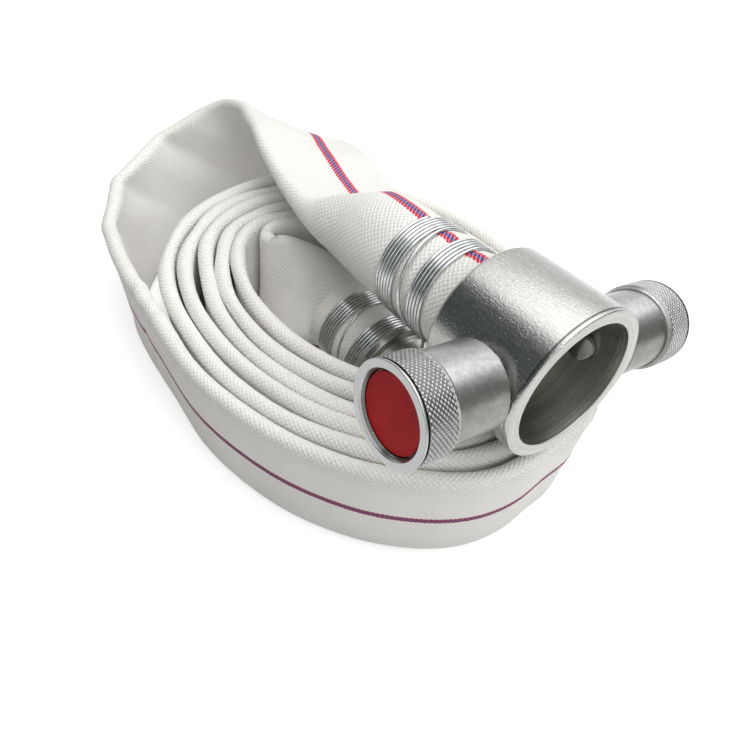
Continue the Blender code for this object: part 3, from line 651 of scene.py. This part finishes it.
def section(girth, half):
    """Lay-flat section with folds of radius half: places towards the edge, outwards, and the flat's width."""
    flat = max(0, (HOSE_GIRTH - 2 * math.pi * half) / 2)
    a = np.abs(girth)
    fold = (a - flat / 2) / half
    before, on_fold = fold < 0, fold < math.pi
    x = np.where(before, a, np.where(on_fold, flat / 2 + half * np.sin(fold), flat + math.pi * half - a))
    y = np.where(before, half, np.where(on_fold, half * np.cos(fold), -half))
    return x * np.sign(girth), y, flat


def step01(value, low, high):
    share = np.clip((value - low) / (high - low), 0, 1)
    return share * share * (3 - 2 * share)


FLAT_HALF = HOSE_FLAT / 2
# Ends of the two wire bands on each tail, in millimetres from the coupling, and the swelling beside them
FEMALE_BANDS = ((58.0, 43.6), (31.7, 19.7))
MALE_BANDS = ((47.0, 32.6), (18.0, 6.0))
SWELL = 1.15
SWELL_UNDER_WIRE = 0.15


def band_swell(from_rear, bands):
    """How far the jacket stands out beside the wire bands on a tail, at a distance from the coupling."""
    squeezed = 0
    for high, low in bands:
        begun = step01(from_rear, low - 4.5, low - 0.5)
        over = step01(from_rear, high + 0.5, high + 4.5)
        squeezed = max(squeezed, begun * (1 - over))
    return (SWELL - (SWELL - SWELL_UNDER_WIRE) * squeezed) * MM


# How much closer the pressed flats lie than the folds, and how far from the folds that reaches
FLATS_PRESSED = 0.22
PRESSED_FROM = 15 * MM
PRESSED_TO = 1 * MM
EDGE_PRESSED = 0.08  # share by which a turn's upper edge is pressed together
# Unevenness of the turns' upper edges, as (size, waves per turn, phase): rise and sway in millimetres, and
# change of the share above
LIFT = ((0.9, 1.37, 0.5), (0.6, 3.1, 2.1), (0.5, 7.3, 0.7))
SWAY = ((0.30, 2.31, 1.1), (0.25, 5.2, 0.0), (0.20, 9.7, 2.0))
PINCH = ((0.06, 6.1, 1.9), (0.05, 11.3, 0.4))
LOWER_TUCK = 2.6  # millimetres by which the turns' lower edges lie further in
# Places where a turn lies off its outer neighbour, as (turn, half width in turns, millimetres)
GAPS = ((3.91, 0.035, 2.2), (2.84, 0.05, 2.0), (1.86, 0.04, 1.6), (0.82, 0.05, 1.6), (4.79, 0.03, 1.2))
# Dents and creases as (metres along, millimetres across, depth outwards, half length and half width in
# millimetres, slant along per millimetre across); a distance below 0 counts from the plug's end
DENTS = (
    (0.335, 20, -2.2, 11, 28, 0.66),
    (0.364, 22, 3.8, 8, 30, 0.66),
    (0.391, 22, -2.3, 13, 32, 0.66),
    (0.421, 20, 3.6, 8, 30, 0.65),
    (0.447, 18, -2.2, 13, 30, 0.64),
    (0.474, 16, 2.6, 9, 28, 0.62),
    (0.425, -42, -9.0, 38, 26, 0),
    (-0.094, 27, -3.2, 10, 9, 0),
    (-0.113, 20, 2.2, 13, 12, 0),
)


def waves(turn, terms):
    return sum(size * math.sin(2 * math.pi * turn * rate + phase) for size, rate, phase in terms)


def gaps(turn):
    return sum(size * math.exp(-(((turn - at) / half) ** 2)) for at, half, size in GAPS)


def dents(distance, total, across):
    """How far the flat hose is pushed outwards, in metres, at a distance along it and points across it."""
    depth = np.zeros_like(across)
    for at, middle, size, half_length, half_width, slant in DENTS:
        off_middle = across / MM - middle
        off_line = (distance - (at if at > 0 else total + at)) / MM - slant * off_middle
        depth += size * np.exp(-((off_line / half_length) ** 2) - (off_middle / half_width) ** 2)
    return depth * MM


# Way of the tracer: metres along the hose, and millimetres from the middle of the face
TRACER_AT = (0.0, 0.036, 0.062, 0.084, 0.12, 0.16, 0.21, 0.25, 0.30, 0.42)
TRACER_OFF = (3.5, 3.5, 2.0, 0.0, -3.0, -5.5, -6.5, -11.0, -8.0, 0.0)
TRACER_TURN = 0.25  # length at the plug's end over which it has gone down, after an equal length of change
TRACER_DOWN = -32


def tracer_place(distance, total):
    off = np.interp(distance, TRACER_AT, TRACER_OFF)
    return (off + TRACER_DOWN * step01(distance, total - 2 * TRACER_TURN, total - TRACER_TURN)) * MM


# Lean of the hose before the plug, and the distances from the plug's end over which it comes and goes
INNER_LEAN = math.radians(33)
LEAN_FROM, LEAN_FULL, LEAN_EASES, LEAN_TO = 0.055, 0.085, 0.100, 0.140


def lean_share(from_end):
    return step01(from_end, LEAN_FROM, LEAN_FULL) * (1 - step01(from_end, LEAN_EASES, LEAN_TO))


def hose_points(rows, along, weights):
    """The girth's places and, for each row, the jacket's points at these places."""
    girth = girth_grid()
    tangents = np.gradient(rows[:, :3], axis=0)
    tangents /= np.linalg.norm(tangents, axis=1)[:, None]
    total = along[-1]
    rings = []
    for row, tangent, distance, weight in zip(rows, tangents, along, weights):
        edge = row[3:6] - tangent * np.dot(row[3:6], tangent)
        edge /= np.linalg.norm(edge)
        out = np.cross(tangent, edge)
        lean = INNER_LEAN * lean_share(total - distance)
        c, s = math.cos(lean), math.sin(lean)
        edge, out = edge * c - out * s, out * c + edge * s
        roundness = min(max(row[6], 0), 1)
        half = FLAT_HALF + roundness * (ROUND_R - FLAT_HALF)
        x, y, flat = section(girth, half)
        # The pressed flats lie closer together than the folds
        inner = 1 - step01(np.abs(x), flat / 2 - PRESSED_FROM, flat / 2 + PRESSED_TO)
        y = y * (1 - FLATS_PRESSED * (1 - roundness) ** 2 * inner)
        bands = FEMALE_BANDS if distance < total / 2 else MALE_BANDS
        swell = band_swell((min(distance, total - distance) + GAP) / MM, bands)
        filled = 1 + step01(roundness, 0.85, 1.0) * swell / ROUND_R
        x, y = x * filled, y * filled
        y = y + dents(distance, total, x)
        if weight > 0:
            share = np.clip(x / HOSE_WIDTH + 0.5, 0, 1)
            lift, sway, pinch = (waves(row[7], terms) for terms in (LIFT, SWAY, PINCH))
            y = y * (1 - weight * (EDGE_PRESSED + pinch) * step01(share, 0.7, 0.95))
            x = x + weight * lift * share**2 * MM
            tucked = LOWER_TUCK * np.maximum(0, 1 - 2 * share) ** 1.5
            y = y + weight * ((sway - gaps(row[7])) * share - tucked) * MM
        ring = row[:3] + x[:, None] * edge + y[:, None] * out
        ring[:, 2] = np.maximum(ring[:, 2], 0)
        rings.append(ring)
    return girth, rings


# Lengths of the rims and bores on the UV map, in metres, and a white place on it
RIM_UV, FEMALE_BORE_UV, MALE_BORE_UV = 0.004, 0.07, 0.06
PLAIN_UV = (0.02, 0.0)


def make_hose(material):
    """The whole hose as one closed skin with an open bore at each coupling, and its UV map in metres."""
    rows, along, weights = hose_rows()
    girth, rings = hose_points(rows, along, weights)
    count = len(girth)

    def bore(coupling, ring, near, far):
        """Two rings inside the round end, from the mouth inwards."""
        made = []
        axis = coupling.to_3x3() @ Vector((-1, 0, 0))
        for distance in (near, far):
            middle = np.array(coupling @ Vector((-distance, 0, 0)))
            spokes = ring - np.array(coupling.translation)
            spokes = spokes - np.outer(spokes @ np.array(axis), axis)
            spokes /= np.linalg.norm(spokes, axis=1)[:, None]
            made.append(middle + spokes * (ROUND_R - HOSE_WALL))
        return made

    female = bore(FEMALE_FRAME, rings[0], REAR_AT + GAP, REAR_AT + FEMALE_TAIL + HOSE_PAST_TAIL / 2)
    male = bore(MALE_FRAME, rings[-1], GAP, MALE_TAIL + HOSE_PAST_TAIL / 2)
    chain = [female[1], female[0], *rings, male[0], male[1]]
    spots = [-FEMALE_BORE_UV, -RIM_UV, *along, along[-1] + RIM_UV, along[-1] + MALE_BORE_UV]
    build = bmesh.new()
    layer = build.loops.layers.uv.new("jacket")
    verts = [[build.verts.new(point) for point in ring] for ring in chain]
    off_middle = [tracer_place(spot, along[-1]) for spot in spots]
    across = np.append(girth, girth[0])
    seam = int(np.argmax(girth))
    for i in range(len(verts) - 1):
        for k in range(count):
            after = (k + 1) % count
            face = build.faces.new((verts[i][k], verts[i][after], verts[i + 1][after], verts[i + 1][k]))
            u0, u1 = girth[k], across[k + 1]
            if k == seam:
                u1 = u1 + HOSE_GIRTH
            for loop, u, end in zip(face.loops, (u0, u1, u1, u0), (i, i, i + 1, i + 1)):
                loop[layer].uv = (u - off_middle[end], spots[end])
    for ring in (verts[0], verts[-1]):
        face = build.faces.new(ring)
        for loop in face.loops:
            loop[layer].uv = PLAIN_UV
    bmesh.ops.recalc_face_normals(build, faces=build.faces)
    mesh = finish_mesh(build, "woven_hose")
    piece = add_piece("woven_hose", mesh, BODY, material, "hose", angle=60)


# Binding wires
WIRE_R = 0.95 * MM
WIRE_PITCH = 2.4 * MM
WIND_R = ROUND_R + GAP + WIRE_R
FIRST_TURNS = 6
CROSSING_TURN = 0.375
CROSSING_LIFT = 2.4 * MM
SECOND_TURNS = 5
POINTS_PER_TURN = 64
END_POINTS = 6
END_RISE = 4.5 * MM
END_SPIN = math.radians(14)


def band_points(bands, hook):
    """One wire: six turns, a crossing strand, five turns and a turned-up end, wound on the round hose."""
    first_band, second_band = bands[0][0] * MM, bands[1][0] * MM
    crossed = FIRST_TURNS + CROSSING_TURN
    start_cross = first_band - FIRST_TURNS * WIRE_PITCH
    points = []
    for i in range(round((crossed + SECOND_TURNS) * POINTS_PER_TURN) + 1):
        turn = i / POINTS_PER_TURN
        lift = 0
        if turn <= FIRST_TURNS:
            along = first_band - turn * WIRE_PITCH
        elif turn < crossed:
            share = (turn - FIRST_TURNS) / CROSSING_TURN
            along = start_cross + (second_band - start_cross) * share
            lift = hook * math.sin(math.pi * share)
        else:
            along = second_band - (turn - FIRST_TURNS - CROSSING_TURN) * WIRE_PITCH
        angle = 2 * math.pi * (turn + 0.25)
        radius = WIND_R + lift
        points.append((-along, radius * math.cos(angle), radius * math.sin(angle)))
    x, y, z = points[-1]
    for i in range(1, END_POINTS + 1):
        share = i / END_POINTS
        c, s = math.cos(END_SPIN * share), math.sin(END_SPIN * share)
        rise = 1 + END_RISE * share**1.6 / math.hypot(y, z)
        points.append((x - WIRE_PITCH * share, rise * (y * c - z * s), rise * (y * s + z * c)))
    return points


def make_wires(material):
    outer = tube("outer_wire", band_points(FEMALE_BANDS, CROSSING_LIFT), WIRE_R)
    inner = tube("inner_wire", band_points(MALE_BANDS, 0), WIRE_R)
    rear = FEMALE_FRAME @ Matrix.Translation((-REAR_AT, 0, 0))
    add_piece("outer_wire", outer, BODY, material, "outer_binding_wire", rear, 80)
    add_piece("inner_wire", inner, BODY, material, "inner_binding_wire", MALE_FRAME, 80)


# Couplings
def tail_profile(rear, length):
    """Outer side of a hose tail with three grip ridges, in millimetres."""
    points = [(TAIL_R, rear, 0.6)]
    first = rear - (length - 42) / 2
    for ridge in range(3):
        top = first - ridge * 14
        points += [(TAIL_R, top, 0.2), (TAIL_R + 0.8, top - 1.6, 0.3), (TAIL_R, top - 3.2, 0.2)]
    end = rear - length
    points += [(TAIL_R, end + 1.5, 0.4), (TAIL_R - 1.5, end, 0.3), (TAIL_BORE, end, 0.3)]
    return points


def metres(points):
    return [(r * MM, z * MM) for r, z in points]


def raise_lips(ring, _index):
    """Lifts the body's outside into a soft lip before and behind each lug.

    In the lathe's frame the lugs lie along Y and the coupling's axis along Z.
    """
    reach = np.hypot(ring[:, 0], ring[:, 1])
    away = np.hypot(ring[:, 0], ring[:, 2]) / MM
    moved = (reach > (BODY_R - 0.7) * MM) & (away < LIP_FOOT) & (np.abs(ring[:, 1]) > 20 * MM)
    share = np.clip((away - BOSS_R) / (LIP_FOOT - BOSS_R), 0, 1)
    axial = (ring[:, 2] / MM / np.maximum(away, 1)) ** 2
    rise = LIP_RISE * (1 - share**2) ** 2 * axial * MM
    ring = ring.copy()
    ring[moved, 1] += (np.sign(ring[:, 1]) * rise)[moved]
    return ring


def make_female(material):
    outside = np.linspace(MOUTH_AT - 3.2, REAR + 3.4, 58)
    profile = [(MOUTH_R, MOUTH_AT, 0.7), (BODY_R, MOUTH_AT, 1.0)]
    for inwards, off in ((0, 0.35), (0.3, 0.15), (0.3, -0.15), (0, -0.35)):
        profile.append((BODY_R - inwards, RIM_GROOVE + off, 0))
    profile += [(BODY_R, z, 0) for z in outside]
    profile += [(BODY_R, REAR + 2.2, 1.0), (BODY_R - 2, REAR, 0.8)]
    profile += tail_profile(REAR, FEMALE_TAIL / MM)
    profile += [
        (TAIL_BORE, SEAT - THROAT_DEEP - (THROAT_R - TAIL_BORE), 1.0),
        (THROAT_R, SEAT - THROAT_DEEP, 1.0),
        (THROAT_R, SEAT, 0.4),
        (MOUTH_R, SEAT, 0.4),
    ]
    mesh = lathe(metres(fillet(profile)), 256, raise_lips)
    boss = fillet([(0, BOSS_END, 0), (BOSS_R, BOSS_END, 0.8), (BOSS_R, BOSS_FOOT, 0), (0, BOSS_FOOT, 0)])
    bore = [(0, LUG_OPEN_OUT)]
    for radius, high, low in (
        (GLAND_R, LUG_OPEN_OUT, GLAND_SEAT),
        (SPRING_ROOM_R, GLAND_SEAT, COLLAR_SEAT),
        (GUIDE_R, COLLAR_SEAT, LUG_OPEN_IN),
    ):
        bore += [(radius, high), (radius, low)]
    bore.append((0, LUG_OPEN_IN))
    local = ALONG_AXIS.inverted() @ FEMALE_FRAME.inverted()
    tools = []
    for shape, operation in ((boss, "UNION"), (bore, "DIFFERENCE")):
        for lug in LUGS.values():
            tools.append((lathe(metres(shape), 96, closed=False), local @ lug, operation))
    mesh = combined(mesh, tools)
    place = FEMALE_FRAME @ ALONG_AXIS
    add_piece("socket_body", mesh, BODY, material, "female_body", place)


def make_seal(material):
    bottom = SEAT + 0.3
    profile = [
        (32.2, bottom + 7, 0.8),
        (34.7, bottom + 4.5, 0.5),
        (34.7, bottom, 0.4),
        (29, bottom, 0.4),
        (29, bottom + 4.5, 0.5),
        (31.5, bottom + 7, 0.8),
    ]
    mesh = lathe(metres(fillet(profile)), 160)
    add_piece("lip_seal", mesh, BODY, material, "seal_ring", FEMALE_FRAME @ ALONG_AXIS)


def make_male(material):
    profile = [
        (THROAT_R, 22, 0.5),
        (PLUG_NOSE_R - 1.5, 22, 0.5),
        (PLUG_NOSE_R, 20.5, 0.8),
        (PLUG_NOSE_R, 12, 0.4),
        (PLUG_GROOVE_R, 12, 0.8),
        (PLUG_GROOVE_R, 5, 0.8),
        (PLUG_FLANGE_R, 5, 0.8),
        (PLUG_FLANGE_R, 0, 0.8),
    ]
    profile += tail_profile(0, MALE_TAIL / MM)
    profile += [(TAIL_BORE, 0, 1.0), (THROAT_R, THROAT_R - TAIL_BORE, 1.0)]
    mesh = lathe(metres(fillet(profile)), 128)
    add_piece("plug_body", mesh, BODY, material, "male_body", MALE_FRAME @ ALONG_AXIS)


def make_knob(side, material):
    """Sleeve, polished shoulder, diamond-knurled grip and a face with a stepped recess."""
    steps = KNURL_COUNT * KNURL_FINE
    grip = []
    pitch = (KNURL_HIGH - KNURL_LOW) / KNURL_ROWS
    for j in range(KNURL_ROWS * KNURL_FINE + 1):
        grip.append((KNOB_R, KNURL_LOW + j * pitch / KNURL_FINE))
    top = [
        (RECESS_R, DISC_HIGH, 0.1),
        (RECESS_R + 1.4, KNOB_FACE, 0.2),
        (KNOB_R - 0.15, KNOB_FACE, 0.8),
        (KNOB_R - 0.15, KNOB_FACE - 0.95, 0.1),
        (KNOB_R - 1.4, KNOB_FACE - 1.05, 0.1),
        (KNOB_R - 1.4, KNURL_HIGH + 0.1, 0.1),
    ]
    low = [
        (KNOB_R - 0.3, KNURL_LOW - 0.5, 0.3),
        (SLEEVE_R + 0.7, SLEEVE_HIGH, 0.3),
        (SLEEVE_R, SLEEVE_HIGH, 0.2),
        (SLEEVE_R, SLEEVE_LOW, 0.9),
        (SLEEVE_BORE, SLEEVE_LOW, 0.4),
        (SLEEVE_BORE, WEB_LOW, 0),
        (STEM_HOLE_R, WEB_LOW, 0),
        (STEM_HOLE_R, WEB_HIGH, 0),
        (NUT_ROOM_R, WEB_HIGH, 0),
        (NUT_ROOM_R, DISC_SHELF, 0.2),
        (RECESS_R, DISC_SHELF, 0.2),
    ]
    marked = fillet(top + [(r, z, 0) for r, z in reversed(grip)] + low, 4)
    knurled = {}
    for index, (r, z) in enumerate(marked):
        for j, (grip_r, grip_z) in enumerate(grip):
            if abs(r - grip_r) < 1e-6 and abs(z - grip_z) < 1e-6:
                knurled[index] = j

    def shape(ring, index):
        if index not in knurled:
            return ring
        j = knurled[index]
        ends = min(1, min(j, len(grip) - 1 - j) / 2)
        k = np.arange(steps)
        depth = np.minimum(ridge((k + j) / KNURL_FINE), ridge((k - j) / KNURL_FINE))
        depth = np.minimum(1, KNURL_STEEP * depth)
        sunk = (1 - depth) * ends + (1 - ends) * 0.3  # at its two ends the grip is plain
        factor = 1 - sunk * KNURL_DEPTH / KNOB_R
        ring = ring.copy()
        ring[:, :2] *= factor[:, None]
        return ring

    mesh = lathe(metres(marked), steps, shape)
    release, replaced = side + "_release", side + "_knob"
    add_piece(side + "_grip", mesh, release, material, replaced, LUGS[side], 24)


def ridge(phase):
    """0 at a groove and 1 midway between grooves."""
    return 1 - np.abs(2 * (phase - np.floor(phase)) - 1)


def make_cap(side, material):
    profile = [(0, DISC_HIGH - 0.15), (8, DISC_HIGH - 0.13), (14, DISC_HIGH - 0.07)]
    rim = [(DISC_R - 1.1, DISC_HIGH, 0.3), (DISC_R, DISC_HIGH, 0.5), (DISC_R, DISC_LOW, 0.2)]
    profile += fillet([*rim, (12, DISC_LOW, 0)], 4)[:-1] + [(0, DISC_LOW)]
    mesh = lathe(metres(profile), 120, closed=False)
    add_piece(side + "_disc", mesh, side + "_release", material, side + "_knob_cap", LUGS[side])


def make_plunger(side, material):
    """Stem, collar and round tooth, whose end is cut to a slope."""
    profile = [
        (0, STEM_END, 0),
        (STEM_R, STEM_END, 0.8),
        (STEM_R, COLLAR_HIGH, 0.3),
        (COLLAR_R, COLLAR_HIGH, 0.4),
        (COLLAR_R, COLLAR_LOW, 0.4),
        (TOOTH_R, COLLAR_LOW, 0.3),
        (TOOTH_R, TOOTH_END, 0.8),
        (0, TOOTH_END, 0),
    ]
    mesh = lathe(metres(fillet(profile, 4)), 64, closed=False)
    build = bmesh.new()
    bmesh.ops.create_cube(build, size=4 * TOOTH_R * MM)
    cutter = finish_mesh(build, "tooth_cut")
    slope = (
        Matrix.Translation((TOOTH_R / 3 * MM, 0, TOOTH_END * MM))
        @ Matrix.Rotation(TOOTH_SLOPE, 4, "Y")
        @ Matrix.Translation((0, 0, -2 * TOOTH_R * MM))
    )
    mesh = combined(mesh, [(cutter, slope, "DIFFERENCE")])
    release, replaced = side + "_release", side + "_plunger"
    add_piece(side + "_tooth", mesh, release, material, replaced, LUGS[side])


def make_spring(side, material):
    name = side + "_coil"
    points = []
    count = SPRING_TURNS * 28
    for i in range(round(count) + 1):
        share = i / count
        angle = 2 * math.pi * SPRING_TURNS * share
        height = SPRING_LOW + (SPRING_HIGH - SPRING_LOW) * share
        points.append((SPRING_R * math.cos(angle), SPRING_R * math.sin(angle), height))
    mesh = tube(name, np.array(points) * MM, SPRING_WIRE_R * MM, 10)
    piece = add_piece(name, mesh, BODY, material, side + "_spring", LUGS[side], 80)
    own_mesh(piece)


# Floor, lamps and world
FLOOR_HALF = 12
FLOOR_DROP = 0.0003
OBJECT_SHARE = (5.4, 8.5, 0)  # scales the floor so that the object fills about a circle of radius 1


def add_stage():
    """Pale floor with the object's shadow, deepened by painted shade close to it. Seen directly or in
    reflections, it glows to white beside it.
    """
    g = Graph("pale_floor")
    grain = g.noise(g.object_point(), 6.0, 2.0)
    colour = g.mix(g.smooth(grain, 0.3, 0.7), (0.70, 0.70, 0.70, 1), (0.72, 0.72, 0.72, 1))
    g.finish(colour, 0.9, 0.0, Specular_IOR_Level=0.1)
    rays = g.node("ShaderNodeLightPath").outputs
    seen = g.math("MAXIMUM", rays["Is Camera Ray"], rays["Is Glossy Ray"])
    seen = g.math("MAXIMUM", seen, rays["Is Transmission Ray"])
    length = g.node("ShaderNodeVectorMath", {0: g.object_point(OBJECT_SHARE)}, operation="LENGTH")
    reach = length.outputs["Value"]
    beside = g.smooth(reach, 0.84, 1.02, 0.0, 0.5)  # the glow leaves out the floor under and close to the object, which paints shade there
    far_off = g.smooth(reach, 10.0, 26.0, 0.0, 0.5)  # and makes up for the lamps' falling off
    beside = g.math("ADD", beside, far_off)
    glow = g.node("ShaderNodeEmission", {"Color": (1, 1, 1, 1), "Strength": g.times(seen, beside)})
    both = g.node("ShaderNodeAddShader", {0: g.shader.outputs[0], 1: glow.outputs[0]})
    output = next(node for node in g.tree.nodes if node.type == "OUTPUT_MATERIAL")
    g.tree.links.new(both.outputs[0], output.inputs["Surface"])
    build = bmesh.new()
    bmesh.ops.create_grid(build, x_segments=8, y_segments=8, size=FLOOR_HALF)
    mesh = finish_mesh(build, "floor")
    mesh.materials.append(g.material)
    floor = bpy.data.objects.new("floor", mesh)
    floor.location.z = -FLOOR_DROP
    SCENE.collection.objects.link(floor)


def add_flag(name, corner, across, up, colour):
    """A studio flag that only reflections see: a sheet glowing at an even colour, which paints that colour as
    a reflection on the metal.
    """
    mesh = bpy.data.meshes.new(name)
    corner, across, up = Vector(corner), Vector(across), Vector(up)
    mesh.from_pydata([corner, corner + across, corner + across + up, corner + up], [], [(0, 1, 2, 3)])
    g = Graph(name)
    g.finish((0, 0, 0, 1), 1.0, 0.0, Specular_IOR_Level=0.0)
    g.shader.inputs["Emission Color"].default_value = (*colour, 1)
    g.shader.inputs["Emission Strength"].default_value = 1.0
    mesh.materials.append(g.material)
    flag = bpy.data.objects.new(name, mesh)
    for ray in ("camera", "diffuse", "shadow", "transmission"):
        setattr(flag, "visible_" + ray, False)
    SCENE.collection.objects.link(flag)


def add_softbox(name, place, target, size, power, mirrored=True):
    data = bpy.data.lights.new(name, "AREA")
    data.shape = "RECTANGLE"
    data.size, data.size_y = size
    data.energy = power
    lamp = bpy.data.objects.new(name, data)
    lamp.location = place
    lamp.visible_glossy = mirrored
    lamp.rotation_euler = (Vector(target) - Vector(place)).to_track_quat("-Z", "Y").to_euler()
    SCENE.collection.objects.link(lamp)


WORLD_LIGHT = 0.13
WORLD_SEEN = 1.0


def add_world():
    """White to the camera and in reflections, dimmer as a light."""
    world = bpy.data.worlds.new("studio")
    world.use_nodes = True
    SCENE.world = world
    nodes, links = world.node_tree.nodes, world.node_tree.links
    rays = nodes.new("ShaderNodeLightPath").outputs
    seen = rays["Is Camera Ray"]
    for ray in ("Is Glossy Ray", "Is Transmission Ray"):
        either = nodes.new("ShaderNodeMath")
        either.operation = "MAXIMUM"
        links.new(seen, either.inputs[0])
        links.new(rays[ray], either.inputs[1])
        seen = either.outputs[0]
    strength = nodes.new("ShaderNodeMapRange")
    links.new(seen, strength.inputs["Value"])
    strength.inputs["To Min"].default_value = WORLD_LIGHT
    strength.inputs["To Max"].default_value = WORLD_SEEN
    sky = nodes["Background"]
    sky.inputs["Color"].default_value = (1, 1, 1, 1)
    links.new(strength.outputs[0], sky.inputs["Strength"])


def add_light():
    add_world()
    add_softbox("overhead", (0.9, 1.075, 1.45), (0.9, 1.075, 0), (3.6, 2.7), 46)
    add_softbox("right", (1.65, -0.3, 1.5), (0, 0, 0.08), (1.6, 1.3), 12, mirrored=False)
    add_softbox("top", (-0.4, -0.2, 1.6), (-0.1, 0, 0.1), (1.2, 1.2), 8, mirrored=False)
    # Glowing flags paint a dark and a grey reflection on the metal
    add_flag("front_flag", (-2.0, -0.35, 0), (2.6, -1.5, 0), (0, 0, 2.2), (0.098, 0.112, 0.116))
    add_flag("right_flag", (0.5, 2.2, 0), (1.6, -1.7, 0), (0, 0, 1.6), (0.29, 0.31, 0.30))


def dress_hidden_nodes():
    """Materials for the CAD pieces that stay: bushes and nuts inside the lugs."""
    bush = body_aluminium("bush_metal")
    nut = steel_material("nut_steel", (0.50, 0.51, 0.52), 0.35)
    for side in LUGS:
        for node, material in ((side + "_gland_nut", bush), (side + "_knob_nut", nut)):
            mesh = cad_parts[node].data
            mesh.materials.clear()
            mesh.materials.append(material)


def build_scene():
    SCENE.view_settings.view_transform = "Standard"
    add_camera()
    make_hose(jacket_material())
    make_wires(wire_material())
    make_female(body_aluminium("socket_metal"))
    make_male(body_aluminium("plug_metal"))
    make_seal(rubber_material())
    knob_metal = turned_aluminium("knob_metal")
    red = cap_material()
    tooth = steel_material("tooth_steel", (0.20, 0.196, 0.183), 0.5)
    spring = steel_material("coil_steel", (0.45, 0.46, 0.47), 0.3)
    for side in LUGS:
        make_knob(side, knob_metal)
        make_cap(side, red)
        make_plunger(side, tooth)
        make_spring(side, spring)
    dress_hidden_nodes()
    add_stage()
    add_light()


build_scene()
